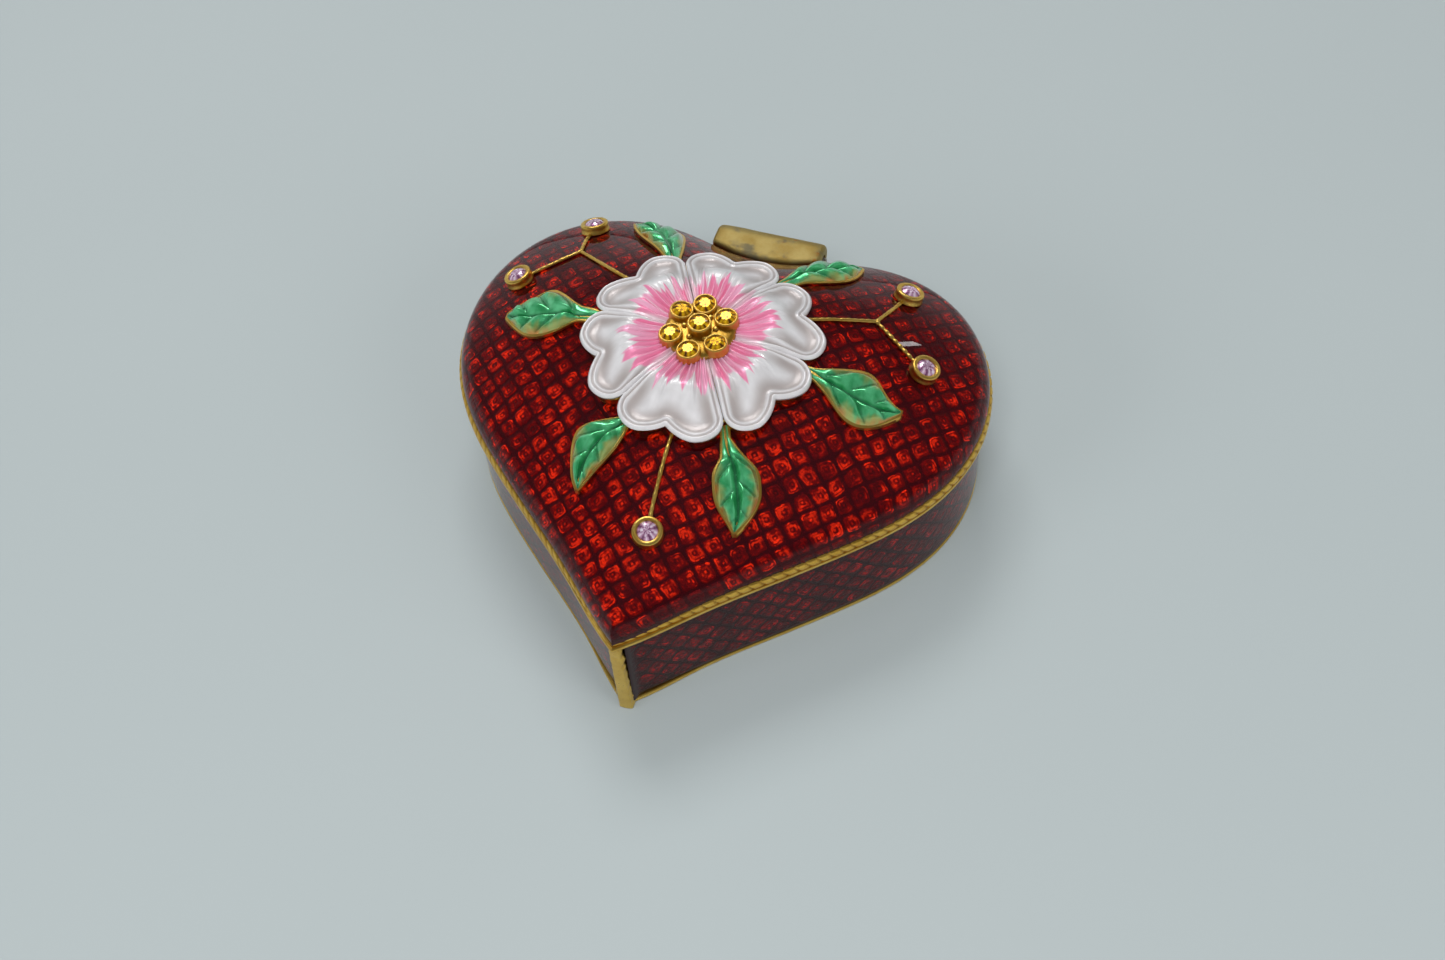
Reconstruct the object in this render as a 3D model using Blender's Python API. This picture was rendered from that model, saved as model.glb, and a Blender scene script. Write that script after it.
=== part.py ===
"""Heart-shaped enamelled trinket box with a hinged domed lid and an applied flower.

Lengths are written in millimetres and multiplied by MM where a mesh is made.
+X is the box's right, +Y its hinge side, +Z up. The origin is on the surface the
box stands on, under the middle of its bounding box.
"""

import math

import bmesh
import bpy
import numpy as np
from mathutils import Matrix, Vector

MM = 0.001

# ---------------------------------------------------------------- dimensions
# Plan outline of the base, right half, as radii about the heart's centre.
HEART_ANGLES = (-90, -80, -62, -40, -15, 12, 38, 60, 78, 90)
HEART_RADII = (43.6, 38.1, 33.2, 32.6, 35.7, 37.7, 34.9, 27.9, 22.3, 21.3)
HALF_POINTS = 33  # points along half of the outline

PAD_THICK = 0.8
PAD_INSET = 1.5
FOOT_Z = 0.3  # lower edge of the cast rim
UNDERSIDE_Z = 1.1
FLOOR_Z = 2.3
BASE_TOP_Z = 15.6
LIP_Z = 16.7
LIP_OUT, LIP_IN = 1.7, 2.5  # insets of the upstanding lip's two faces
BAND_LOW_Z, BAND_HIGH_Z = 0.9, 15.1
ENAMEL_THICK = 0.5
GAP = 0.3
LINING_THICK = 0.8
STRIP_HALF = 1.1  # half width of the metal strip down the point of the heart
STRIP_PROUD = 0.1
STRIP_LOW_Z = 0.85

RIM_OUT = 0.94  # how far the lid's rope rim stands outside the base
RIM_LOW_Z, RIM_HIGH_Z = 15.9, 17.4
DOME_OUT = 0.6
SHOULDER_Z = 17.7
SHOULDER_R = 3.5
APEX_Z = 29.4
CROWN_ROUNDING = 0.35  # share of the crown over which its outline loses the heart's sharp point

AXIS_Y, AXIS_Z = 26.2, 16.6  # hinge pin, in the heart's own plan coordinates
BARREL_R = 2.6
BLOCK_HALF = 8.25
EAR_THICK = 1.2
EAR_R = 1.3
EAR_X = 5.6  # the ears stand in slots in the block's underside
PIN_R = 0.7
PIN_LEFT, PIN_RIGHT = 8.0, 8.7
OPEN_DEG = 100  # how far the lid turns

MAGNET_R, MAGNET_THICK = 2.1, 1.8
MAGNET_Y = -35.4

FLOWER = (-0.9, -2.2)
PETAL_CENTRES = (90, 32, -32, -88, -152, -216)
PETAL_EDGES = (117, 61, 0, -60, -120, -184, -243)
PETAL_TOP_Z = 31.0
PETAL_DROP = 2.0
PETAL_OUT = 16.9
PETAL_IN = 5.2
PETAL_THICK = 0.5
CLUSTER_R = 4.8
RING_R = 3.9

# base and tip of each leaf, in plan, and its greatest width
LEAVES = (
    ((-16.9, -1.4), (-30.4, -1.2), 7.2),
    ((-10.4, 12.9), (-18.3, 19.6), 6.4),
    ((7.6, 12.9), (15.6, 20.0), 6.4),
    ((16.1, -2.9), (27.6, -4.2), 7.2),
    ((7.4, -17.6), (11.2, -27.6), 6.4),
    ((-7.3, -17.9), (-10.6, -27.0), 6.4),
)
# each sprig: the wires as lists of plan points, then the settings at their ends
SPRIGS = {
    "sprig_left": (
        (((-16.9, 7.7), (-20.4, 9.8), (-24.1, 12.2), (-24.5, 15.4), (-24.4, 18.6)), ((-24.0, 12.1), (-27.8, 9.0), (-31.4, 6.2))),
        ((-24.4, 18.6), (-31.4, 6.2)),
    ),
    "sprig_right": (
        (((15.4, 7.0), (18.0, 8.2), (20.6, 9.4), (22.1, 13.4), (23.2, 17.2)), ((20.6, 9.5), (24.6, 6.7), (28.6, 4.2))),
        ((23.2, 17.2), (28.6, 4.2)),
    ),
    "sprig_front": (
        (((0.0, -20.0), (0.2, -24.0), (0.5, -28.0), (0.9, -31.0)),),
        ((0.9, -31.0),),
    ),
}
WIRE_R = 0.33

# ------------------------------------------------------------ clean the scene
for old in list(bpy.data.objects):
    bpy.data.objects.remove(old, do_unlink=True)

PARTS = bpy.data.collections.new("heart_trinket_box")
CUTTERS = bpy.data.collections.new("heart_trinket_box_cutters")
bpy.context.scene.collection.children.link(PARTS)
bpy.context.scene.collection.children.link(CUTTERS)


# ------------------------------------------------------------------ materials
def material(name, colour, roughness, metallic, transmission=0.0):
    mat = bpy.data.materials.new(name)
    mat.use_nodes = True
    shader = mat.node_tree.nodes["Principled BSDF"]
    shader.inputs["Base Color"].default_value = (*colour, 1.0)
    shader.inputs["Roughness"].default_value = roughness
    shader.inputs["Metallic"].default_value = metallic
    shader.inputs["Transmission Weight"].default_value = transmission
    mat.diffuse_color = (*colour, 1.0)
    return mat


GOLD = (0.62, 0.42, 0.12)
RED = (0.32, 0.004, 0.006)
PEARL = (0.72, 0.66, 0.66)
GREEN = (0.03, 0.28, 0.1)


# ------------------------------------------------------------------- geometry
def natural_spline(xs, ys):
    """The natural cubic spline through these points, as a function."""
    xs, ys = np.asarray(xs, float), np.asarray(ys, float)
    n, h = len(xs), np.diff(xs)
    rows, right = np.eye(n), np.zeros(n)
    for i in range(1, n - 1):
        rows[i, i - 1 : i + 2] = h[i - 1], 2 * (h[i - 1] + h[i]), h[i]
        right[i] = 6 * ((ys[i + 1] - ys[i]) / h[i] - (ys[i] - ys[i - 1]) / h[i - 1])
    m = np.linalg.solve(rows, right)

    def value(x):
        i = int(np.clip(np.searchsorted(xs, x) - 1, 0, n - 2))
        a, b = xs[i + 1] - x, x - xs[i]
        return (
            m[i] * a**3 / (6 * h[i])
            + m[i + 1] * b**3 / (6 * h[i])
            + (ys[i] / h[i] - m[i] * h[i] / 6) * a
            + (ys[i + 1] / h[i] - m[i + 1] * h[i] / 6) * b
        )

    return value


HEART = natural_spline([math.radians(a) for a in HEART_ANGLES], HEART_RADII)


def heart_radius(angle, out=0.0):
    """Distance from the heart's centre to its outline moved outwards by out."""
    t = math.atan2(math.sin(angle), abs(math.cos(angle)))
    r = HEART(t)
    low, high = max(t - 1e-4, -math.pi / 2), min(t + 1e-4, math.pi / 2)
    slope = (HEART(high) - HEART(low)) / (high - low)
    return r + out * math.sqrt(r * r + slope * slope) / r


TIP_Y = -heart_radius(-math.pi / 2, RIM_OUT)
BACK_Y = AXIS_Y + BARREL_R
SHIFT_Y = -(TIP_Y + BACK_Y) / 2  # puts the bounding box's middle at the origin
PIVOT = Vector((0, AXIS_Y + SHIFT_Y, AXIS_Z)) * MM

HALF = [-math.pi / 2 + math.pi * i / (HALF_POINTS - 1) for i in range(HALF_POINTS)]
AROUND = HALF + [math.pi - a for a in HALF[-2:0:-1]]


def at(x, y, z):
    return Vector((x, y + SHIFT_Y, z)) * MM


def heart_ring(out, z, scale=1.0, lowest_y=None, angles=AROUND):
    ring = []
    for a in angles:
        r = heart_radius(a, out) * scale
        x, y = r * math.cos(a), r * math.sin(a)
        ring.append(at(x, y if lowest_y is None else max(y, lowest_y), z))
    return ring


ROUNDED_RADII = []
for _ in range(121):
    _angle = math.radians(-90 + 1.5 * _)
    _weights = [math.exp(-0.5 * (k * 3 / 9) ** 2) for k in range(-9, 10)]
    _sum = sum(w * heart_radius(_angle + math.radians(3 * k)) for w, k in zip(_weights, range(-9, 10)))
    ROUNDED_RADII.append(_sum / sum(_weights))


def rounded_radius(angle):
    """The outline's radius with its point and cleft smoothed, to which the crown's rings turn."""
    t = (math.degrees(math.atan2(math.sin(angle), abs(math.cos(angle)))) + 90) / 1.5
    i = min(int(t), 119)
    return ROUNDED_RADII[i] + (ROUNDED_RADII[i + 1] - ROUNDED_RADII[i]) * (t - i)


def shoulder_end(angle, depth=0.0):
    """The shoulder arc's last angle, where its slope meets the crown's, with that ring's outset and height."""
    r = SHOULDER_R - depth
    end = math.radians(60)
    for _ in range(12):
        out = r * math.cos(end) - (SHOULDER_R - DOME_OUT)
        z = SHOULDER_Z + r * math.sin(end)
        end = math.atan2(heart_radius(angle, out), 2 * (APEX_Z - depth - z))
    return end, out, z


def crown_radius(angle, s, end_out):
    """Radius of the crown's ring s, from 1 at the shoulder to 0 at the top."""
    w = min(1.0, (1 - s) / CROWN_ROUNDING)
    w = w * w * (3 - 2 * w)
    edge = heart_radius(angle, end_out)
    return s * (edge * (1 - w) + edge * w * rounded_radius(angle) / heart_radius(angle))


def dome_rings(depth, crown_steps, shoulder_steps):
    """Rings of the domed surface that lies depth under the lid's outer one, from its foot to its top."""
    centre_in = SHOULDER_R - DOME_OUT
    r = SHOULDER_R - depth
    ends = [shoulder_end(a, depth) for a in AROUND]
    rings = []
    for i in range(shoulder_steps + 1):
        ring = []
        for angle, (end, _, _) in zip(AROUND, ends):
            a = end * i / shoulder_steps
            reach = heart_radius(angle, r * math.cos(a) - centre_in)
            ring.append(at(reach * math.cos(angle), reach * math.sin(angle), SHOULDER_Z + r * math.sin(a)))
        rings.append(ring)
    for i in range(1, crown_steps):
        s = 1 - i / crown_steps
        ring = []
        for angle, (_, out, z) in zip(AROUND, ends):
            reach = crown_radius(angle, s, out)
            ring.append(at(reach * math.cos(angle), reach * math.sin(angle), z + (APEX_Z - depth - z) * (1 - s * s)))
        rings.append(ring)
    rings.append([at(0, 0, APEX_Z - depth)])
    return rings


def dome_z(x, y):
    """Height of the lid's outer surface over this point."""
    angle, r = math.atan2(y, x), math.hypot(x, y)
    _, end_out, end_z = shoulder_end(angle)
    if r <= heart_radius(angle, end_out):
        low, high = 0.0, 1.0
        for _ in range(30):
            s = (low + high) / 2
            if crown_radius(angle, s, end_out) < r:
                low = s
            else:
                high = s
        return end_z + (APEX_Z - end_z) * (1 - s * s)
    unit = heart_radius(angle, 1.0) - heart_radius(angle)
    out = (r - heart_radius(angle)) / unit
    c = min(1.0, max(0.0, (out + SHOULDER_R - DOME_OUT) / SHOULDER_R))
    return SHOULDER_Z + SHOULDER_R * math.sqrt(1 - c * c)


def dome_normal(x, y, step=0.5):
    dx = (dome_z(x + step, y) - dome_z(x - step, y)) / (2 * step)
    dy = (dome_z(x, y + step) - dome_z(x, y - step)) / (2 * step)
    return Vector((-dx, -dy, 1)).normalized()


def finish(name, bm, mat, collection=PARTS, smooth=True):
    """Writes a bmesh to a new object, faces outwards, in a collection."""
    bmesh.ops.recalc_face_normals(bm, faces=bm.faces)
    mesh = bpy.data.meshes.new(name)
    bm.to_mesh(mesh)
    bm.free()
    if mat:
        mesh.materials.append(mat)
    if smooth:
        mesh.shade_smooth()
        mesh.set_sharp_from_angle(angle=math.radians(35))
    obj = bpy.data.objects.new(name, mesh)
    collection.objects.link(obj)
    if collection is CUTTERS:
        obj.hide_render = True
        obj.display_type = "WIRE"
    return obj


def loft(rings):
    """A closed skin through rings of points. A ring of one point is a pole, and other ends are capped."""
    bm = bmesh.new()
    rows = [[bm.verts.new(p) for p in ring] for ring in rings]
    for low, high in zip(rows, rows[1:]):
        count = max(len(low), len(high))
        for i in range(count):
            j = (i + 1) % count
            if len(low) == 1:
                bm.faces.new((low[0], high[i], high[j]))
            elif len(high) == 1:
                bm.faces.new((low[i], low[j], high[0]))
            else:
                bm.faces.new((low[i], low[j], high[j], high[i]))
    for end in (rows[0], rows[-1]):
        if len(end) > 2:
            bm.faces.new(end)
    return bm


def slab(under, over):
    """A closed body between two equal grids of points."""
    bm = bmesh.new()
    low = [[bm.verts.new(p) for p in row] for row in under]
    high = [[bm.verts.new(p) for p in row] for row in over]
    for grid in (low, high):
        for a, b in zip(grid, grid[1:]):
            for i in range(len(a) - 1):
                bm.faces.new((a[i], a[i + 1], b[i + 1], b[i]))
    rows, cols = len(low), len(low[0])
    edge = [(0, i) for i in range(cols)] + [(j, cols - 1) for j in range(1, rows)]
    edge += [(rows - 1, i) for i in range(cols - 2, -1, -1)] + [(j, 0) for j in range(rows - 2, 0, -1)]
    for (a, b), (c, d) in zip(edge, edge[1:] + edge[:1]):
        bm.faces.new((low[a][b], low[c][d], high[c][d], high[a][b]))
    return bm


def prism(outline, direction):
    """A flat outline extruded along a vector."""
    bm = bmesh.new()
    face = bm.faces.new([bm.verts.new(p) for p in outline])
    made = bmesh.ops.extrude_face_region(bm, geom=[face])
    moved = [v for v in made["geom"] if isinstance(v, bmesh.types.BMVert)]
    bmesh.ops.translate(bm, verts=moved, vec=direction)
    return bm


def cylinder(radius, length, segments=20, matrix=None):
    bm = bmesh.new()
    bmesh.ops.create_cone(
        bm, cap_ends=True, segments=segments, radius1=radius * MM, radius2=radius * MM,
        depth=length * MM, matrix=matrix or Matrix.Identity(4),
    )
    return bm


def boolean(obj, other, operation):
    mod = obj.modifiers.new(operation.lower() + "_" + other.name, "BOOLEAN")
    mod.operation = operation
    mod.object = other
    mod.solver = "EXACT"
    return mod


def standing(x, y, z, normal=Vector((0, 0, 1))):
    """A matrix that stands a piece at a point with its Z along a direction."""
    turn = Vector((0, 0, 1)).rotation_difference(normal).to_matrix().to_4x4()
    return Matrix.Translation(at(x, y, z)) @ turn


LYING_X = Matrix.Rotation(math.pi / 2, 4, "Y")
LID_PIVOT = bpy.data.objects.new("lid_pivot", None)
LID_PIVOT.location = PIVOT
LID_PIVOT.empty_display_size = 0.01
PARTS.objects.link(LID_PIVOT)


def on_lid(obj):
    obj.parent = LID_PIVOT
    obj.matrix_parent_inverse = Matrix.Translation(-PIVOT)
    return obj


# ----------------------------------------------------------------- base tray
gold_cast = material("gold_plated_casting", GOLD, 0.28, 1.0)
shell = finish(
    "base_shell",
    loft(
        [
            heart_ring(-PAD_INSET + GAP, UNDERSIDE_Z),
            heart_ring(-PAD_INSET + GAP, FOOT_Z),
            heart_ring(0, FOOT_Z),
            heart_ring(0, BAND_LOW_Z),
            heart_ring(-ENAMEL_THICK - GAP, BAND_LOW_Z),
            heart_ring(-ENAMEL_THICK - GAP, BAND_HIGH_Z),
            heart_ring(0, BAND_HIGH_Z),
            heart_ring(0, BASE_TOP_Z),
            heart_ring(-LIP_OUT, BASE_TOP_Z),
            heart_ring(-LIP_OUT, LIP_Z),
            heart_ring(-LIP_IN, LIP_Z),
            heart_ring(-LIP_IN, FLOOR_Z),
        ]
    ),
    gold_cast,
)
tip_out = heart_radius(-math.pi / 2, STRIP_PROUD)
side_out = heart_radius(-math.pi / 2 + STRIP_HALF / 42.0, STRIP_PROUD)
strip_side_y = -math.sqrt(side_out**2 - STRIP_HALF**2)
strip = finish(
    "front_strip_form",
    prism(
        [
            at(0, -tip_out, STRIP_LOW_Z),
            at(STRIP_HALF, strip_side_y, STRIP_LOW_Z),
            at(STRIP_HALF, strip_side_y + 2.0, STRIP_LOW_Z),
            at(-STRIP_HALF, strip_side_y + 2.0, STRIP_LOW_Z),
            at(-STRIP_HALF, strip_side_y, STRIP_LOW_Z),
        ],
        Vector((0, 0, BASE_TOP_Z - 0.2 - STRIP_LOW_Z)) * MM,
    ),
    None,
    CUTTERS,
)
boss_top = 15.4
boss = finish(
    "base_magnet_boss_form",
    cylinder(3.6, boss_top - FLOOR_Z + 0.5, 24, standing(0, MAGNET_Y, (boss_top + FLOOR_Z - 0.5) / 2)),
    None,
    CUTTERS,
)
boss_hole = finish(
    "base_magnet_pocket_form",
    cylinder(MAGNET_R + GAP, 2 * (MAGNET_THICK + GAP), 24, standing(0, MAGNET_Y, boss_top)),
    None,
    CUTTERS,
)
boolean(shell, strip, "UNION")
boolean(shell, boss, "UNION")
boolean(shell, boss_hole, "DIFFERENCE")

base_magnet = finish(
    "base_magnet",
    cylinder(MAGNET_R, MAGNET_THICK, 24),
    material("nickel_magnet", (0.6, 0.6, 0.58), 0.3, 1.0),
)
base_magnet.location = at(0, MAGNET_Y, boss_top - MAGNET_THICK / 2)

finish(
    "base_felt_pad",
    loft([heart_ring(-PAD_INSET, 0), heart_ring(-PAD_INSET, PAD_THICK)]),
    material("dark_felt", (0.02, 0.018, 0.02), 0.95, 0.0),
)
finish(
    "base_lining",
    loft(
        [
            heart_ring(-LIP_IN - GAP, FLOOR_Z + GAP, lowest_y=MAGNET_Y + 3.6 + GAP),
            heart_ring(-LIP_IN - GAP, FLOOR_Z + GAP + LINING_THICK, lowest_y=MAGNET_Y + 3.6 + GAP),
        ]
    ),
    material("velvet_lining", (0.2, 0.01, 0.02), 0.9, 0.0),
)

red = material("red_enamel", RED, 0.08, 0.35)
start = math.atan2(strip_side_y, STRIP_HALF + GAP)
end = math.atan2(math.sin(math.radians(90)), math.cos(math.radians(90)) + 0.014)
side_angles = [start + (end - start) * i / (HALF_POINTS - 1) for i in range(HALF_POINTS)]
for side, sign in (("right", 1), ("left", -1)):
    corners = []
    for out, z in (
        (-ENAMEL_THICK, BAND_LOW_Z + GAP / 2),
        (0, BAND_LOW_Z + GAP / 2),
        (0, BAND_HIGH_Z - GAP / 2),
        (-ENAMEL_THICK, BAND_HIGH_Z - GAP / 2),
    ):
        corners.append(heart_ring(out, z, angles=side_angles))
    sections = [
        [Vector((sign * c[i].x, c[i].y, c[i].z)) for c in corners]
        for i in range(HALF_POINTS)
    ]
    finish("base_enamel_" + side, loft(sections), red)

# --------------------------------------------------------------------- hinge
hinge_gold = material("worn_gold_hinge", (0.58, 0.4, 0.13), 0.4, 1.0)
bracket_half = BLOCK_HALF - 0.6
front = []
for i in range(13):
    x = -bracket_half + 2 * bracket_half * i / 12
    y = heart_radius(math.atan2(23.0, x), GAP)
    front.append(at(y * math.cos(math.atan2(23.0, x)), y * math.sin(math.atan2(23.0, x)), 8.6))
bracket = finish(
    "hinge_base",
    prism(
        front + [at(bracket_half, AXIS_Y + 1.3, 8.6), at(-bracket_half, AXIS_Y + 1.3, 8.6)],
        Vector((0, 0, AXIS_Z - BARREL_R - 0.4 - 8.6)) * MM,
    ),
    hinge_gold,
)
for side, sign in (("right", 1), ("left", -1)):
    x = sign * EAR_X
    arc = [
        at(
            x - EAR_THICK / 2,
            AXIS_Y + EAR_R * math.cos(math.pi * i / 10),
            AXIS_Z + EAR_R * math.sin(math.pi * i / 10),
        )
        for i in range(11)
    ]
    low = AXIS_Z - BARREL_R - 1.4
    ear = finish(
        "hinge_ear_form_" + side,
        prism(
            arc + [at(x - EAR_THICK / 2, AXIS_Y - EAR_R, low), at(x - EAR_THICK / 2, AXIS_Y + 1.2, low)],
            Vector((EAR_THICK, 0, 0)) * MM,
        ),
        None,
        CUTTERS,
    )
    boolean(bracket, ear, "UNION")
bore = finish(
    "hinge_bore_form",
    cylinder(PIN_R + 0.2, 30, 16, Matrix.Translation(PIVOT) @ LYING_X),
    None,
    CUTTERS,
)
boolean(bracket, bore, "DIFFERENCE")

pin = finish(
    "hinge_pin",
    cylinder(PIN_R, PIN_LEFT + PIN_RIGHT, 16),
    material("hinge_pin_steel", (0.3, 0.27, 0.22), 0.35, 1.0),
)
pin.location = PIVOT + Vector(((PIN_RIGHT - PIN_LEFT) / 2, 0, 0)) * MM
pin.rotation_euler = (0, math.pi / 2, 0)

block_front = heart_radius(math.pi / 2, RIM_OUT) + GAP
profile = [(block_front, AXIS_Z - 0.6), (block_front, AXIS_Z + 1.9), (block_front + 0.7, AXIS_Z + BARREL_R)]
for i in range(13):
    a = math.pi / 2 - math.radians(240) * i / 12
    profile.append((AXIS_Y + BARREL_R * math.cos(a), AXIS_Z + BARREL_R * math.sin(a)))
block = finish(
    "hinge_lid",
    prism([at(-BLOCK_HALF, y, z) for y, z in profile], Vector((2 * BLOCK_HALF, 0, 0)) * MM),
    hinge_gold,
)
block_bore = finish(
    "hinge_lid_bore_form",
    cylinder(PIN_R + GAP, 30, 16, Matrix.Translation(PIVOT) @ LYING_X),
    None,
    CUTTERS,
)
# the block's inner corners clear the curve of the lid behind the cleft
relief_ring = heart_ring(RIM_OUT + GAP, AXIS_Z - 4)
relief = finish(
    "hinge_lid_relief_form",
    loft([heart_ring(RIM_OUT + GAP, AXIS_Z - 4), heart_ring(RIM_OUT + GAP, AXIS_Z + 5)]),
    None,
    CUTTERS,
)
boolean(block, block_bore, "DIFFERENCE")
boolean(block, relief, "DIFFERENCE")
# each slot clears its ear from the closed lid to the open one
sweep = math.radians(OPEN_DEG)
slot_r = EAR_R + GAP
slot = [(-slot_r, -6.0)]
for i in range(9):
    a = math.pi - (math.pi / 2 - (sweep - math.pi / 2)) * i / 8
    slot.append((slot_r * math.cos(a), slot_r * math.sin(a)))
slot.append((slot[-1][0] + 6 * math.sin(sweep), slot[-1][1] - 6 * math.cos(sweep)))
slot.append((6.0, -6.0))
for side, sign in (("right", 1), ("left", -1)):
    width = EAR_THICK + 2 * GAP
    x = sign * EAR_X - width / 2
    form = finish(
        "hinge_slot_form_" + side,
        prism([at(x, AXIS_Y + y, AXIS_Z + z) for y, z in slot], Vector((width, 0, 0)) * MM),
        None,
        CUTTERS,
    )
    boolean(block, form, "DIFFERENCE")
on_lid(block)

# ----------------------------------------------------------------------- lid
outer = dome_rings(ENAMEL_THICK + GAP, 5, 3)
inner = dome_rings(ENAMEL_THICK + GAP + 1.1, 5, 3)
centre_in = SHOULDER_R - DOME_OUT
lid_in = SHOULDER_R - ENAMEL_THICK - GAP - centre_in
lid_shell = finish(
    "lid_shell",
    loft(
        [outer[-1]]
        + outer[-2::-1]
        + [
            heart_ring(lid_in, RIM_HIGH_Z),
            heart_ring(RIM_OUT - 0.25, RIM_HIGH_Z),
            heart_ring(RIM_OUT, RIM_HIGH_Z - 0.35),
            heart_ring(RIM_OUT, RIM_LOW_Z + 0.3),
            heart_ring(RIM_OUT - 0.25, RIM_LOW_Z),
            heart_ring(lid_in - 1.1, RIM_LOW_Z),
        ]
        + inner
    ),
    gold_cast,
)
lid_boss_low = 16.6
lid_boss = finish(
    "lid_magnet_boss_form",
    cylinder(3.2, 3.2, 24, standing(0, MAGNET_Y + 0.6, lid_boss_low + 1.6)),
    None,
    CUTTERS,
)
lid_pocket = finish(
    "lid_magnet_pocket_form",
    cylinder(MAGNET_R + GAP, 2 * (MAGNET_THICK + GAP), 24, standing(0, MAGNET_Y + 0.6, lid_boss_low)),
    None,
    CUTTERS,
)
boolean(lid_shell, lid_boss, "UNION")
boolean(lid_shell, lid_pocket, "DIFFERENCE")
on_lid(lid_shell)

lid_magnet = finish("lid_magnet", cylinder(MAGNET_R, MAGNET_THICK, 24), bpy.data.materials["nickel_magnet"])
lid_magnet.location = at(0, MAGNET_Y + 0.6, lid_boss_low + MAGNET_THICK / 2)
on_lid(lid_magnet)

over, under = dome_rings(0, 5, 3), dome_rings(ENAMEL_THICK, 5, 3)
on_lid(finish("lid_enamel", loft([over[-1]] + over[-2::-1] + under), red))


# -------------------------------------------------------------------- flower
def petal_top(x, y):
    """Height of the petals' upper surface."""
    rho = math.hypot(x - FLOWER[0], y - FLOWER[1])
    back = max(0.0, y - FLOWER[1])
    return PETAL_TOP_Z - PETAL_DROP * (rho / 16.5) ** 2 - 1.1 * (back / 16.5) ** 2


def petal_edge(index, u):
    """Outer radius of a petal at u, from -1 at one side to 1 at the other."""
    side = min(1.0, abs(abs(u) - 0.5) / 0.5)
    if abs(u) > 0.5:
        return PETAL_OUT - 3.2 * (1 - math.sqrt(1 - side * side))
    return PETAL_OUT - 2.1 * side**1.8


def petal_point(index, u, v):
    first, last = PETAL_EDGES[index], PETAL_EDGES[index + 1]
    r = PETAL_IN + (petal_edge(index, u) - PETAL_IN) * v
    half = math.radians(first - last) / 2 - 0.16 / r
    a = math.radians(first + last) / 2 - u * half
    return FLOWER[0] + r * math.cos(a), FLOWER[1] + r * math.sin(a)


pearl = material("pearl_enamel", PEARL, 0.3, 0.0)
steps_u = [-1, -0.95, -0.8, -0.55, -0.28, 0, 0.28, 0.55, 0.8, 0.95, 1]
steps_v = [0, 0.3, 0.6, 0.85, 1]
for index in range(6):
    top, low = [], []
    for v in steps_v:
        row = [petal_point(index, u, v) for u in steps_u]
        top.append([at(x, y, petal_top(x, y)) for x, y in row])
        low.append([at(x, y, petal_top(x, y) - PETAL_THICK) for x, y in row])
    on_lid(finish(f"petal_{index + 1}", slab(low, top), pearl))


def casting_radius(a):
    """Outline of the gold casting under the petals, a little inside theirs."""
    return PETAL_OUT - 1.2 - 0.9 * math.cos(6 * (a - math.radians(PETAL_EDGES[2])))


spread = [2 * math.pi * i / 48 for i in range(48)]


def casting_ring(share, lift):
    ring = []
    for a in spread:
        r = casting_radius(a) * share
        x, y = FLOWER[0] + r * math.cos(a), FLOWER[1] + r * math.sin(a)
        low, high = dome_z(x, y) + 0.25, petal_top(x, y) - PETAL_THICK - 0.15
        ring.append(at(x, y, low if lift == 0 else high))
    return ring


x, y = FLOWER
on_lid(
    finish(
        "flower_casting",
        loft(
            [[at(x, y, dome_z(x, y) + 0.25)]]
            + [casting_ring(s, 0) for s in (0.34, 0.67, 1)]
            + [casting_ring(s, 1) for s in (1, 0.67, 0.34)]
            + [[at(x, y, petal_top(x, y) - PETAL_THICK - 0.15)]]
        ),
        gold_cast,
    )
)

plate_z = PETAL_TOP_Z - PETAL_THICK
cluster = finish(
    "flower_centre",
    cylinder(CLUSTER_R, 1.0, 30, standing(x, y, plate_z + 0.5)),
    gold_cast,
)
seats = [(x, y, 2.25)] + [
    (x + RING_R * math.cos(math.radians(32 + 60 * k)), y + RING_R * math.sin(math.radians(32 + 60 * k)), 1.65)
    for k in range(6)
]
amber = material("amber_crystal", (0.75, 0.38, 0.02), 0.03, 0.0, 0.8)
AMBER_R, PINK_R = 1.25, 1.35


def stone_rings(radius, sides=8):
    """Table, crown, girdle and pavilion of a small round brilliant."""
    rings = []
    for share, z, turn in ((0.55, 0.32, 0.5), (1, 0.0, 0), (1, -0.08, 0)):
        rings.append(
            [
                Vector((math.cos(2 * math.pi * (i + turn) / sides), math.sin(2 * math.pi * (i + turn) / sides), 0)) * radius * share * MM
                + Vector((0, 0, z * radius * MM))
                for i in range(sides)
            ]
        )
    rings.append([Vector((0, 0, -0.48 * radius * MM))])
    return rings


for k, (sx, sy, height) in enumerate(seats):
    cup = finish(
        f"amber_seat_form_{k + 1}",
        cylinder(AMBER_R + 0.38, height - 0.6, 14, standing(sx, sy, plate_z + 0.6 + (height - 0.6) / 2)),
        None,
        CUTTERS,
    )
    boolean(cluster, cup, "UNION")
for k, (sx, sy, height) in enumerate(seats):
    pocket = finish(
        f"amber_pocket_form_{k + 1}",
        cylinder(AMBER_R + 0.1, 1.4, 14, standing(sx, sy, plate_z + height)),
        None,
        CUTTERS,
    )
    boolean(cluster, pocket, "DIFFERENCE")
    stone = finish(f"amber_stone_{k + 1}", loft(stone_rings(AMBER_R)), amber, smooth=False)
    stone.location = at(sx, sy, plate_z + height - 0.12)
    on_lid(stone)
on_lid(cluster)

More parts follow.
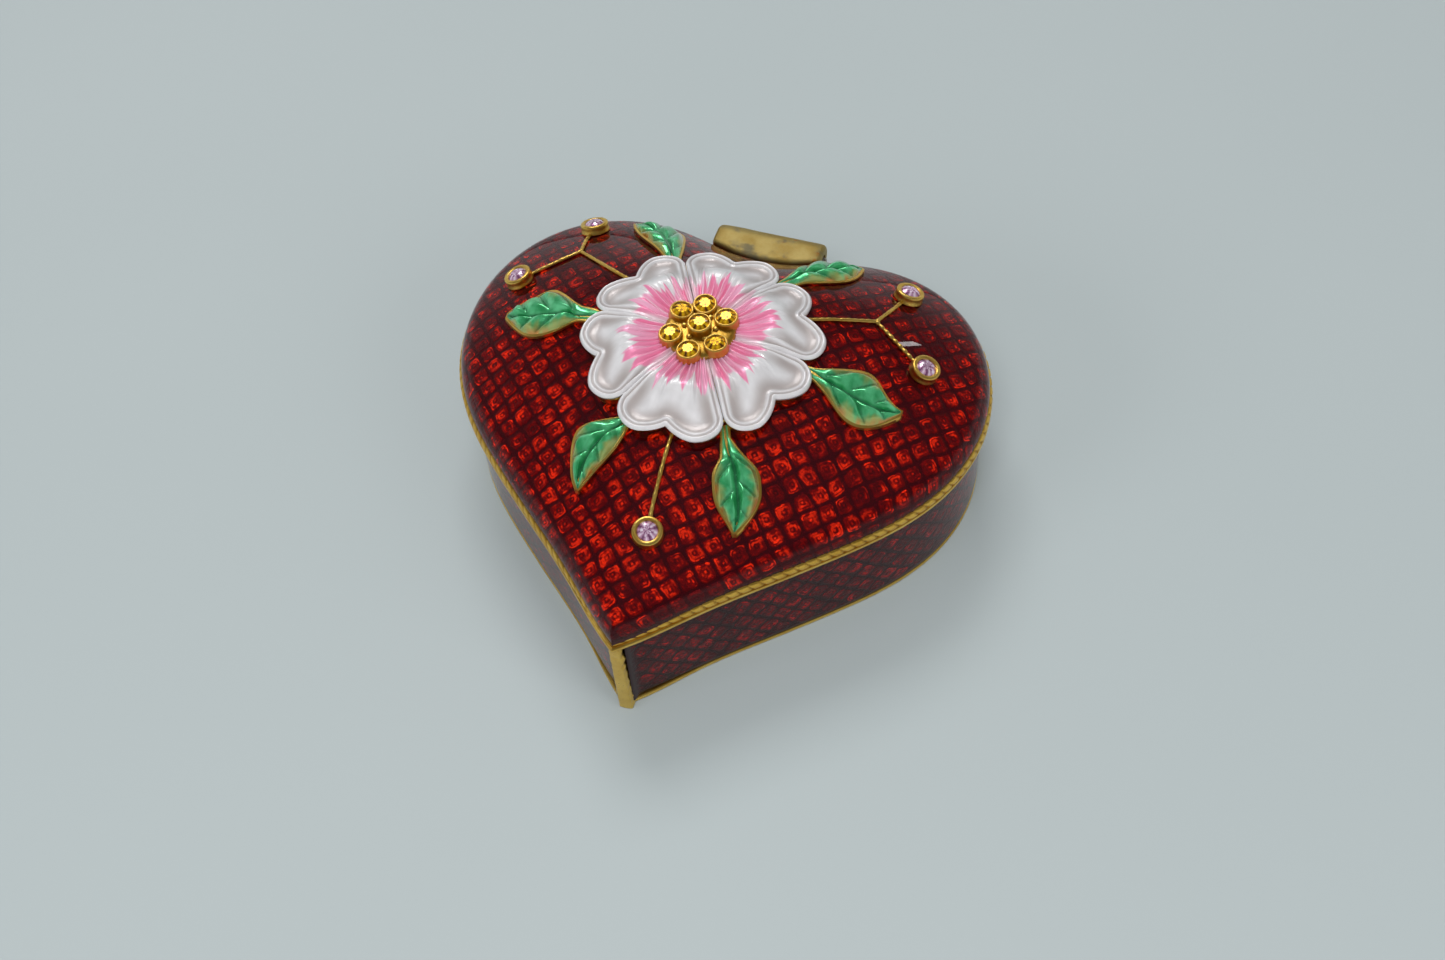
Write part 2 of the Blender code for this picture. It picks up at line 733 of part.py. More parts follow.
# -------------------------------------------------------------------- leaves
leaf_green = material("green_enamel", GREEN, 0.25, 0.3)
for index, (base, tip, width) in enumerate(LEAVES):
    along = Vector((tip[0] - base[0], tip[1] - base[1]))
    across = Vector((-along.y, along.x)).normalized()
    over, under = [], []
    for v in (0, 0.12, 0.3, 0.5, 0.7, 0.87, 1):
        half = 0.5 * width * math.sin(math.pi * v**0.85) ** 0.8 if 0 < v < 1 else 0
        half = max(half, 0.35)
        row_over, row_under = [], []
        for u in (-1, -0.5, 0, 0.5, 1):
            px = base[0] + along.x * v + across.x * half * u
            py = base[1] + along.y * v + across.y * half * u
            z = dome_z(px, py) + 0.3
            row_under.append(at(px, py, z))
            row_over.append(at(px, py, z + 0.55 + 0.35 * (1 - u * u) * (half / (0.5 * width))))
        over.append(row_over)
        under.append(row_under)
    on_lid(finish(f"leaf_{index + 1}", slab(under, over), leaf_green))


# -------------------------------------------------------------------- sprigs
def wire_mesh(name, points, collection):
    """A wire that lies on the lid along these plan points, as a mesh."""
    curve = bpy.data.curves.new(name, "CURVE")
    curve.dimensions = "3D"
    curve.bevel_depth = WIRE_R * MM
    curve.bevel_resolution = 1
    curve.use_fill_caps = True
    spline = curve.splines.new("POLY")
    spline.points.add(len(points) - 1)
    for place, (px, py) in zip(spline.points, points):
        place.co = (*at(px, py, dome_z(px, py) + 0.25 + WIRE_R), 1)
    guide = bpy.data.objects.new(name + "_guide", curve)
    bpy.context.scene.collection.objects.link(guide)
    bpy.context.view_layer.update()
    mesh = bpy.data.meshes.new_from_object(guide.evaluated_get(bpy.context.evaluated_depsgraph_get()))
    bm = bmesh.new()
    bm.from_mesh(mesh)
    bmesh.ops.remove_doubles(bm, verts=bm.verts, dist=1e-6)
    bpy.data.objects.remove(guide, do_unlink=True)
    return finish(name, bm, None, collection)


pink = material("pink_crystal", (0.78, 0.5, 0.66), 0.03, 0.0, 0.8)
pink_number = 0
for name, (wires, settings) in SPRIGS.items():
    sprig = wire_mesh(name, wires[0], PARTS)
    sprig.data.materials.clear()
    sprig.data.materials.append(gold_cast)
    for number, wire in enumerate(wires[1:]):
        boolean(sprig, wire_mesh(f"{name}_wire_form_{number + 2}", wire, CUTTERS), "UNION")
    for sx, sy in settings:
        pink_number += 1
        normal = dome_normal(sx, sy)
        foot = at(sx, sy, dome_z(sx, sy))
        turn = Vector((0, 0, 1)).rotation_difference(normal).to_matrix().to_4x4()

        def up(height):
            return Matrix.Translation(foot + normal * height * MM) @ turn

        cup = finish(
            f"pink_seat_form_{pink_number}", cylinder(PINK_R + 0.45, 1.25, 18, up(0.25 + 0.625)), None, CUTTERS
        )
        pocket = finish(f"pink_pocket_form_{pink_number}", cylinder(PINK_R + 0.1, 1.7, 18, up(1.5)), None, CUTTERS)
        boolean(sprig, cup, "UNION")
        boolean(sprig, pocket, "DIFFERENCE")
        stone = finish(f"pink_stone_{pink_number}", loft(stone_rings(PINK_R)), pink, smooth=False)
        stone.matrix_world = up(1.4)
        on_lid(stone)
    on_lid(sprig)
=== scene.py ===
import math

import bmesh
import bpy
import numpy as np
from mathutils import Matrix, Vector


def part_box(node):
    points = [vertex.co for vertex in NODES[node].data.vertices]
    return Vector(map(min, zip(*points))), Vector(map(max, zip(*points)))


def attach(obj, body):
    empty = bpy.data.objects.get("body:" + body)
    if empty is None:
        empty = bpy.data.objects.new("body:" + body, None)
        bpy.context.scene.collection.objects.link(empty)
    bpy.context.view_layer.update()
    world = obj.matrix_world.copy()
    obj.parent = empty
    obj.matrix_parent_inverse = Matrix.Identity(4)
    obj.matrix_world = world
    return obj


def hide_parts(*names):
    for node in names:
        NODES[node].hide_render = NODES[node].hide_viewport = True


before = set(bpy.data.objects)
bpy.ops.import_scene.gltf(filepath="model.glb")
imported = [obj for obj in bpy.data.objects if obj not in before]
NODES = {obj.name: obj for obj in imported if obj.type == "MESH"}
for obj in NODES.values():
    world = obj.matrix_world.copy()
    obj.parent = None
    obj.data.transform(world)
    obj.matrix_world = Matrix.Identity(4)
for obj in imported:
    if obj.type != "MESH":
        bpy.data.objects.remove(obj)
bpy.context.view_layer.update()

# ------------------------------------------------------------------ design
# All lengths below are millimetres in the heart's own plan frame; place() turns them into row-frame metres.
HEART_ANGLES = np.radians([-90, -80, -62, -40, -15, 12, 38, 60, 78, 90])
HEART_RADII = np.array([43.6, 38.1, 33.2, 32.6, 35.7, 37.7, 34.9, 27.9, 22.3, 21.3])
RIM_OUT, RIM_LOW_Z, RIM_HIGH_Z = 0.94, 15.9, 17.4
DOME_OUT, SHOULDER_Z, SHOULDER_R, APEX_Z, ROUNDING = 0.6, 17.7, 3.5, 29.4, 0.35
BARREL_R, PIN_R = 2.6, 0.7
FLOWER = np.array([-0.9, -2.2])
PETAL_EDGES = (117, 61, 0, -60, -120, -184, -243)
PETAL_OUT = 16.9
GRID_PITCH = 2.62


def natural_spline(xs, ys):
    n, h = len(xs), np.diff(xs)
    rows, right = np.eye(n), np.zeros(n)
    for i in range(1, n - 1):
        rows[i, i - 1 : i + 2] = h[i - 1], 2 * (h[i - 1] + h[i]), h[i]
        right[i] = 6 * ((ys[i + 1] - ys[i]) / h[i] - (ys[i] - ys[i - 1]) / h[i - 1])
    m = np.linalg.solve(rows, right)

    def value(x):
        x = np.asarray(x, float)
        i = np.clip(np.searchsorted(xs, x) - 1, 0, n - 2)
        a, b = xs[i + 1] - x, x - xs[i]
        return (
            m[i] * a**3 / (6 * h[i]) + m[i + 1] * b**3 / (6 * h[i])
            + (ys[i] / h[i] - m[i] * h[i] / 6) * a + (ys[i + 1] / h[i] - m[i + 1] * h[i] / 6) * b
        )

    return value


HEART = natural_spline(HEART_ANGLES, HEART_RADII)


def fold(a):
    return np.arctan2(np.sin(a), np.abs(np.cos(a)))


def heart_r(a, out=0.0):
    t = fold(a)
    r = HEART(t)
    low, high = np.maximum(t - 1e-4, -np.pi / 2), np.minimum(t + 1e-4, np.pi / 2)
    slope = (HEART(high) - HEART(low)) / (high - low)
    return r + out * np.sqrt(r * r + slope * slope) / r


_table_a = np.radians(np.arange(-90, 90.1, 1.5))
_k = np.arange(-9, 10)
_w = np.exp(-0.5 * (_k * 3 / 9) ** 2)
_table_r = np.array([(_w * heart_r(a + np.radians(3 * _k))).sum() / _w.sum() for a in _table_a])


def rounded_r(a):
    return np.interp(fold(a), _table_a, _table_r)


def shoulder_end(a, depth=0.0):
    r = SHOULDER_R - depth
    end = np.full(np.shape(a), math.radians(60))
    for _ in range(12):
        out = r * np.cos(end) - (SHOULDER_R - DOME_OUT)
        z = SHOULDER_Z + r * np.sin(end)
        end = np.arctan2(heart_r(a, out), 2 * (APEX_Z - depth - z))
    return end, out, z


def crown_r(a, s, out):
    w = np.minimum(1.0, (1 - s) / ROUNDING)
    w = w * w * (3 - 2 * w)
    edge = heart_r(a, out)
    return s * edge * (1 - w + w * rounded_r(a) / heart_r(a))


def dome_z(x, y):
    x, y = np.asarray(x, float), np.asarray(y, float)
    a, r = np.arctan2(y, x), np.hypot(x, y)
    _, out, z = shoulder_end(a)
    edge, base, rounded = heart_r(a, out), heart_r(a), rounded_r(a)
    low, high = np.zeros_like(r), np.ones_like(r)
    for _ in range(26):
        s = (low + high) / 2
        w = np.minimum(1.0, (1 - s) / ROUNDING)
        w = w * w * (3 - 2 * w)
        inside = s * edge * (1 - w + w * rounded / base) < r
        low, high = np.where(inside, s, low), np.where(inside, high, s)
    crown = z + (APEX_Z - z) * (1 - s * s)
    unit = heart_r(a, 1.0) - base
    c = np.clip(((r - base) / unit + SHOULDER_R - DOME_OUT) / SHOULDER_R, 0, 1)
    return np.where(r <= edge, crown, SHOULDER_Z + SHOULDER_R * np.sqrt(1 - c * c))


def dome_normal(x, y, step=0.4):
    dx = (dome_z(x + step, y) - dome_z(x - step, y)) / (2 * step)
    dy = (dome_z(x, y + step) - dome_z(x, y - step)) / (2 * step)
    return Vector((-float(dx), -float(dy), 1)).normalized()


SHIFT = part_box("lid_shell")[0].y * 1000 + float(heart_r(-math.pi / 2, RIM_OUT))
AXIS_Y = (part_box("hinge_pin")[0].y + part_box("hinge_pin")[1].y) * 500 - SHIFT
AXIS_Z = (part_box("hinge_pin")[0].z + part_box("hinge_pin")[1].z) * 500
PIN_LEFT, PIN_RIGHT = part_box("hinge_pin")[0].x * 1000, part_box("hinge_pin")[1].x * 1000
BLOCK_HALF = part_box("hinge_lid")[1].x * 1000


def outline_angles(count):
    """Angles evenly spaced along the outline, from the point round by the right to the point again, with their arc lengths."""
    t = np.linspace(-np.pi / 2, np.pi / 2, 6001)
    r = heart_r(t)
    s = np.concatenate([[0], np.cumsum(np.hypot(np.diff(r * np.cos(t)), np.diff(r * np.sin(t))))])
    even = np.linspace(0, s[-1], count // 2 + 1)
    right = np.interp(even, s, t)
    return np.concatenate([right, np.pi - right[-2:0:-1]]), np.concatenate([even, 2 * s[-1] - even[-2:0:-1]]), s[-1]


def smooth(x, low, high):
    t = np.clip((np.asarray(x, float) - low) / (high - low), 0, 1)
    return t * t * (3 - 2 * t)


def place(points):
    p = np.array(points, float)
    p[..., 1] += SHIFT
    return p * 0.001


# ------------------------------------------------------------------ mesh making
def new_object(name, verts, faces, mat, uv=None, second=None, groove=None, sharp=None, local=False, flat=False):
    me = bpy.data.meshes.new(name)
    v = np.asarray(verts, float).reshape(-1, 3)
    me.from_pydata((v * 0.001 if local else place(v)).tolist(), [], faces)
    for label, data in (("lattice", uv), ("edge", second)):
        if data is not None:
            layer = me.uv_layers.new(name=label)
            index = np.zeros(len(me.loops), np.int32)
            me.loops.foreach_get("vertex_index", index)
            layer.data.foreach_set("uv", np.asarray(data, np.float32).reshape(-1, 2)[index].ravel())
    if groove is not None:
        me.attributes.new("groove", "FLOAT", "POINT").data.foreach_set("value", np.asarray(groove, np.float32).ravel())
    bm = bmesh.new()
    bm.from_mesh(me)
    bmesh.ops.recalc_face_normals(bm, faces=bm.faces)
    bm.to_mesh(me)
    bm.free()
    if not flat:
        me.shade_smooth()
        if sharp:
            me.set_sharp_from_angle(angle=math.radians(sharp))
    me.materials.append(mat)
    obj = bpy.data.objects.new(name, me)
    bpy.context.scene.collection.objects.link(obj)
    return obj


def quads(rows, cols, first=0, wrap_rows=False, wrap_cols=False, turn=False):
    r = np.arange(rows if wrap_rows else rows - 1)
    c = np.arange(cols if wrap_cols else cols - 1)
    r, c = np.meshgrid(r, c, indexing="ij")
    r2, c2 = (r + 1) % rows, (c + 1) % cols
    f = np.stack([r * cols + c, r * cols + c2, r2 * cols + c2, r2 * cols + c], -1).reshape(-1, 4) + first
    return (f[:, ::-1] if turn else f).tolist()


def loft(name, rings, mat, caps=(True, True), loop=False, **more):
    """A skin through equal closed rings, closed at its ends by fans or joined end to end."""
    rings = np.asarray(rings, float)
    count, n, _ = rings.shape
    verts = rings.reshape(-1, 3)
    faces = quads(count, n, wrap_cols=True, wrap_rows=loop)
    extra = {}
    for key in ("uv", "second", "groove"):
        if more.get(key) is not None:
            extra[key] = np.asarray(more.pop(key), float).reshape(count * n, -1)
        else:
            more.pop(key, None)
    if not loop:
        for end, row, wanted in ((0, 0, caps[0]), (1, count - 1, caps[1])):
            if wanted:
                verts = np.concatenate([verts, rings[row].mean(0, keepdims=True)])
                centre = len(verts) - 1
                start = row * n
                faces += [[start + (i + 1) % n, start + i, centre] if end == 0 else [start + i, start + (i + 1) % n, centre] for i in range(n)]
                for key in extra:
                    extra[key] = np.concatenate([extra[key], extra[key][start : start + n].mean(0, keepdims=True)])
    return new_object(name, verts, faces, mat, **extra, **more)


def slab(name, top, bottom, mat, **more):
    """A closed piece between two equal grids."""
    rows, cols = top.shape[:2]
    size = rows * cols
    faces = quads(rows, cols) + quads(rows, cols, first=size, turn=True)
    edge = [(0, i) for i in range(cols)] + [(j, cols - 1) for j in range(1, rows)]
    edge += [(rows - 1, i) for i in range(cols - 2, -1, -1)] + [(j, 0) for j in range(rows - 2, 0, -1)]
    ids = [r * cols + c for r, c in edge]
    faces += [[b, a, a + size, b + size] for a, b in zip(ids, ids[1:] + ids[:1])]
    for key in ("uv", "second", "groove"):
        if more.get(key) is not None:
            flat = np.asarray(more[key], float).reshape(size, -1)
            more[key] = np.concatenate([flat, flat])
    return new_object(name, np.concatenate([top.reshape(-1, 3), bottom.reshape(-1, 3)]), faces, mat, **more)


def lathe_rings(profile, segments):
    a = np.linspace(0, 2 * np.pi, segments, endpoint=False)
    return np.array([np.stack([r * np.cos(a), r * np.sin(a), np.full(segments, z)], -1) for r, z in profile])


def lathe(name, profile, mat, matrix, segments=64, **more):
    """A turned piece about its own Z, closed at both ends on the axis, placed by a matrix in metres."""
    obj = loft(name, lathe_rings(profile, segments), mat, local=True, **more)
    obj.matrix_world = matrix
    return obj


def tube(name, points, radii, mat, sides=14, **more):
    """A round wire through points, with closed ends."""
    p = np.asarray(points, float)
    t = np.gradient(p, axis=0)
    t /= np.linalg.norm(t, axis=1)[:, None]
    up = np.tile([0.0, 0.0, 1.0], (len(p), 1))
    side = np.cross(t, up)
    side /= np.linalg.norm(side, axis=1)[:, None]
    up = np.cross(side, t)
    a = np.linspace(0, 2 * np.pi, sides, endpoint=False)
    r = np.broadcast_to(radii, (len(p),))
    rings = p[:, None] + r[:, None, None] * (np.cos(a)[None, :, None] * side[:, None] + np.sin(a)[None, :, None] * up[:, None])
    return loft(name, rings, mat, **more)


def through(points, count):
    """A smooth curve through plan points, as count points."""
    p = np.asarray(points, float)
    p = np.concatenate([2 * p[:1] - p[1:2], p, 2 * p[-1:] - p[-2:-1]])
    out = []
    for t in np.linspace(0, len(p) - 3 - 1e-9, count):
        i = int(t)
        u = t - i
        a, b, c, d = p[i : i + 4]
        out.append(0.5 * (2 * b + (c - a) * u + (2 * a - 5 * b + 4 * c - d) * u * u + (3 * b - a - 3 * c + d) * u**3))
    return np.array(out)


# ------------------------------------------------------------------ materials
class Nodes:
    """Short names for building a node tree."""

    def __init__(self, name):
        self.mat = bpy.data.materials.new(name)
        self.mat.use_nodes = True
        self.tree = self.mat.node_tree
        self.tree.nodes.clear()
        self.out = self.tree.nodes.new("ShaderNodeOutputMaterial")
        self.shader = self.tree.nodes.new("ShaderNodeBsdfPrincipled")
        self.tree.links.new(self.shader.outputs[0], self.out.inputs[0])

    def link(self, value, socket):
        if isinstance(value, bpy.types.NodeSocket):
            self.tree.links.new(value, socket)
        elif hasattr(value, "__len__") and len(value) == 3 and socket.type == "RGBA":
            socket.default_value = (*value, 1)
        else:
            socket.default_value = value

    def set(self, **values):
        for key, value in values.items():
            self.link(value, self.shader.inputs[key.replace("_", " ")])
        return self

    def math(self, op, a, b=0.0, c=0.0, clamp=False):
        n = self.tree.nodes.new("ShaderNodeMath")
        n.operation = op
        n.use_clamp = clamp
        for value, socket in zip((a, b, c), n.inputs):
            self.link(value, socket)
        return n.outputs[0]

    def vector(self, op, a, b=(0, 0, 0)):
        n = self.tree.nodes.new("ShaderNodeVectorMath")
        n.operation = op
        self.link(a, n.inputs[0])
        if op == "SCALE":
            self.link(b, n.inputs["Scale"])
        else:
            self.link(b, n.inputs[1])
        return n.outputs["Value"] if op in ("LENGTH", "DOT_PRODUCT", "DISTANCE") else n.outputs[0]

    def uv(self, name):
        n = self.tree.nodes.new("ShaderNodeUVMap")
        n.uv_map = name
        return n.outputs[0]

    def attribute(self, name):
        n = self.tree.nodes.new("ShaderNodeAttribute")
        n.attribute_name = name
        return n.outputs["Fac"]

    def coords(self):
        return self.tree.nodes.new("ShaderNodeTexCoord").outputs["Object"]

    def split(self, v):
        n = self.tree.nodes.new("ShaderNodeSeparateXYZ")
        self.link(v, n.inputs[0])
        return n.outputs[0], n.outputs[1], n.outputs[2]

    def join(self, x, y, z=0.0):
        n = self.tree.nodes.new("ShaderNodeCombineXYZ")
        for value, socket in zip((x, y, z), n.inputs):
            self.link(value, socket)
        return n.outputs[0]

    def noise(self, vector, scale, detail=2.0, rough=0.5, color=False):
        n = self.tree.nodes.new("ShaderNodeTexNoise")
        self.link(vector, n.inputs["Vector"])
        n.inputs["Scale"].default_value = scale
        n.inputs["Detail"].default_value = detail
        n.inputs["Roughness"].default_value = rough
        return n.outputs["Color" if color else "Fac"]

    def white(self, vector, color=False):
        n = self.tree.nodes.new("ShaderNodeTexWhiteNoise")
        n.noise_dimensions = "3D"
        self.link(vector, n.inputs["Vector"])
        return n.outputs["Color" if color else "Value"]

    def voronoi(self, vector, scale, feature="F1", output="Distance"):
        n = self.tree.nodes.new("ShaderNodeTexVoronoi")
        n.feature = feature
        self.link(vector, n.inputs["Vector"])
        n.inputs["Scale"].default_value = scale
        return n.outputs[output]

    def ramp(self, value, stops, mode="LINEAR"):
        n = self.tree.nodes.new("ShaderNodeValToRGB")
        n.color_ramp.interpolation = mode
        while len(n.color_ramp.elements) < len(stops):
            n.color_ramp.elements.new(0.5)
        for element, (where, colour) in zip(n.color_ramp.elements, stops):
            element.position = where
            element.color = (*colour, 1) if hasattr(colour, "__len__") else (colour, colour, colour, 1)
        self.link(value, n.inputs[0])
        return n.outputs[0]

    def mix(self, fac, a, b, mode="MIX"):
        n = self.tree.nodes.new("ShaderNodeMix")
        n.data_type = "RGBA"
        n.blend_type = mode
        self.link(fac, n.inputs[0])
        self.link(a, n.inputs[6])
        self.link(b, n.inputs[7])
        return n.outputs[2]

    def span(self, value, a, b, c=0.0, d=1.0, smoothly=True):
        n = self.tree.nodes.new("ShaderNodeMapRange")
        n.interpolation_type = "SMOOTHSTEP" if smoothly else "LINEAR"
        for v, key in ((value, "Value"), (a, "From Min"), (b, "From Max"), (c, "To Min"), (d, "To Max")):
            self.link(v, n.inputs[key])
        return n.outputs[0]

    def bump(self, height, distance, strength=1.0, normal=None):
        n = self.tree.nodes.new("ShaderNodeBump")
        self.link(height, n.inputs["Height"])
        n.inputs["Distance"].default_value = distance
        n.inputs["Strength"].default_value = strength
        if normal is not None:
            self.link(normal, n.inputs["Normal"])
        return n.outputs[0]


def lattice_enamel(name, bright, mid, dark, metal, rough, relief, edge_band, coat):
    """Clear red enamel over an engraved diagonal grid: a ring and a dot in every cell. Its colour also holds painted
    glints on the engraving, painted light brighter towards the point of the heart, and painted shade where the edge map
    is low, towards the foot of the dome and the edges of the walls.
    """
    g = Nodes(name)
    x, y, _ = g.split(g.uv("lattice"))
    edge, _, _ = g.split(g.uv("edge"))
    place_v = g.join(x, y)
    wx, wy, _ = g.split(g.noise(place_v, 0.22, 2, 0.5, color=True))
    sx, sy, _ = g.split(g.noise(place_v, 1.3, 2, 0.5, color=True))
    x = g.math("ADD", x, g.math("ADD", g.math("MULTIPLY", g.math("SUBTRACT", wx, 0.5), 1.2), g.math("MULTIPLY", g.math("SUBTRACT", sx, 0.5), 0.3)))
    y = g.math("ADD", y, g.math("ADD", g.math("MULTIPLY", g.math("SUBTRACT", wy, 0.5), 1.2), g.math("MULTIPLY", g.math("SUBTRACT", sy, 0.5), 0.3)))
    k = 1 / (GRID_PITCH * math.sqrt(2))
    a = g.math("MULTIPLY", g.math("ADD", x, y), k)
    b = g.math("MULTIPLY", g.math("SUBTRACT", x, y), k)
    fa = g.math("SUBTRACT", g.math("FRACT", a), 0.5)
    fb = g.math("SUBTRACT", g.math("FRACT", b), 0.5)
    cell = g.join(g.math("FLOOR", a), g.math("FLOOR", b))
    r1, r2, r3 = g.split(g.white(cell, color=True))
    ga, gb = g.math("ABSOLUTE", fa), g.math("ABSOLUTE", fb)
    d = g.math("POWER", g.math("ADD", g.math("POWER", ga, 5.0), g.math("POWER", gb, 5.0)), 0.2)
    d2 = g.math("MULTIPLY", d, 2.0)
    height = g.ramp(d2, [(0.0, 0.95), (0.10, 0.9), (0.24, 0.35), (0.36, 0.4), (0.52, 0.95), (0.66, 1.0), (0.78, 0.7), (0.9, 0.04), (1.0, 0.0)], "EASE")
    # the ring and the dot are the engraving; their extra brightness is painted highlight standing for glints on the
    # engraved metal
    engraving_and_glints = g.ramp(d2, [(0.0, 1.0), (0.08, 0.9), (0.16, 0.36), (0.27, 0.34), (0.38, 0.74), (0.47, 0.68), (0.57, 0.38), (0.68, 0.50), (0.79, 0.32), (0.89, 0.08), (1.0, 0.0)])
    arcs = g.ramp(d2, [(0.0, 1.0), (0.09, 0.9), (0.16, 0.0), (0.30, 0.0), (0.40, 1.0), (0.48, 0.6), (0.56, 0.0), (0.64, 0.0), (0.72, 0.8), (0.80, 0.0)])
    tilt = g.math("ADD", g.math("MULTIPLY", fa, g.math("SUBTRACT", r1, 0.5)), g.math("MULTIPLY", fb, g.math("SUBTRACT", r2, 0.5)))
    grain = g.noise(place_v, 2.2, 3, 0.6)
    h = g.math("ADD", g.math("ADD", height, g.math("MULTIPLY", tilt, 1.5)), g.math("MULTIPLY", grain, 1.3))
    plain = g.span(edge, edge_band * 0.6, edge_band * 1.5)
    h = g.math("MULTIPLY", h, plain)
    cloud = g.noise(place_v, 0.16, 2, 0.5)
    patch = g.noise(place_v, 0.9, 2, 0.5)
    # painted highlight: the glints' strength varies per cell, in patches and in slow clouds
    power = g.math("ADD", g.math("MULTIPLY", g.span(cloud, 0.36, 0.62), 0.55), g.math("MULTIPLY", r3, 0.35))
    power = g.math("MULTIPLY", g.math("ADD", power, 0.22), g.math("ADD", 0.40, g.math("MULTIPLY", g.span(patch, 0.42, 0.64), 0.8)))
    # painted shade: darker where the edge map is low, down the shoulder to the foot on the lid and near the edges on
    # the walls
    power = g.math("MULTIPLY", power, g.span(edge, edge_band, edge_band * 5.0, 0.5, 1.0))
    # painted light: brighter as the lattice map's y falls, towards the point of the heart on the lid and lower down on
    # the walls
    power = g.math("MULTIPLY", power, g.span(y, 16.0, -34.0, 0.85, 1.55))
    # painted glints on the ring arcs, on the side each cell tilts towards
    painted_glints = g.math("MULTIPLY", g.math("MULTIPLY", arcs, g.span(tilt, 0.01, 0.13)), g.math("ADD", 0.25, g.span(patch, 0.44, 0.60)))
    engraving_and_glints = g.math("ADD", g.math("MULTIPLY", engraving_and_glints, 0.90), g.math("MULTIPLY", painted_glints, 1.35))
    base = g.ramp(g.math("MULTIPLY", engraving_and_glints, power), [(0.0, dark), (0.30, mid), (0.62, tuple(0.45 * m + 0.55 * b for m, b in zip(mid, bright))), (1.0, bright)])
    base = g.mix(plain, dark, base)
    g.set(Base_Color=base, Metallic=metal, Roughness=rough, Normal=g.bump(h, relief))
    g.set(Coat_Weight=coat, Coat_Roughness=0.025, Coat_IOR=1.28, Specular_Tint=(0.5, 0.03, 0.03, 1.0), Specular_IOR_Level=0.1)
    return g.mat


def gold(name, colour=(0.82, 0.56, 0.15), rough=0.25, wear=0.0, groove=False, scale=1.0):
    """Gold plating over a casting: soft unevenness, warmer and darker in the hollows, greyer where it has worn."""
    g = Nodes(name)
    where = g.vector("SCALE", g.coords(), 1000.0)
    cloud = g.noise(where, 0.35 * scale, 3, 0.55)
    fine = g.noise(where, 3.0 * scale, 4, 0.6)
    scratch = g.noise(g.vector("MULTIPLY", where, (1.0, 7.0, 1.0)), 2.2 * scale, 3, 0.7)
    base = g.mix(g.span(cloud, 0.35, 0.7), colour, tuple(c * k for c, k in zip(colour, (0.86, 0.78, 0.62))))
    base = g.mix(g.math("MULTIPLY", g.span(fine, 0.55, 0.75), 0.35), base, (0.42, 0.22, 0.06))
    roughness = g.math("ADD", rough - 0.06, g.math("MULTIPLY", g.math("ADD", cloud, scratch), 0.12))
    metal = 1.0
    if groove:
        hollow = g.attribute("groove")
        base = g.mix(hollow, base, (0.40, 0.19, 0.035))
        roughness = g.math("ADD", roughness, g.math("MULTIPLY", hollow, 0.18))
    if wear:
        px, py, pz = g.split(where)
        patch = g.noise(where, 0.30, 3, 0.62)
        near = g.math("MULTIPLY", g.span(py, 34.6, 31.2), g.span(px, 7.5, -6.5, 0.25, 1.0))
        mask = g.math("MULTIPLY", g.span(g.math("ADD", patch, g.math("MULTIPLY", near, 0.13)), 0.56, 0.74), wear)
        base = g.mix(mask, base, (0.25, 0.23, 0.16))
        ends = g.span(g.math("ABSOLUTE", px), 6.6, 8.1)
        tarnish = g.noise(g.vector("ADD", where, (7.3, 2.1, 5.7)), 0.5, 3, 0.6)
        rust = g.math("ADD", g.math("MULTIPLY", g.math("MULTIPLY", ends, g.span(py, 34.0, 31.5)), 0.25), tarnish)
        base = g.mix(g.math("MULTIPLY", g.span(rust, 0.62, 0.74), 0.75), base, (0.42, 0.16, 0.03))
        roughness = g.math("ADD", roughness, g.math("MULTIPLY", mask, 0.2))
    h = g.math("ADD", g.math("MULTIPLY", fine, 0.6), g.math("MULTIPLY", scratch, 0.4))
    g.set(Base_Color=base, Metallic=metal, Roughness=roughness, Normal=g.bump(h, 0.00004))
    return g.mat


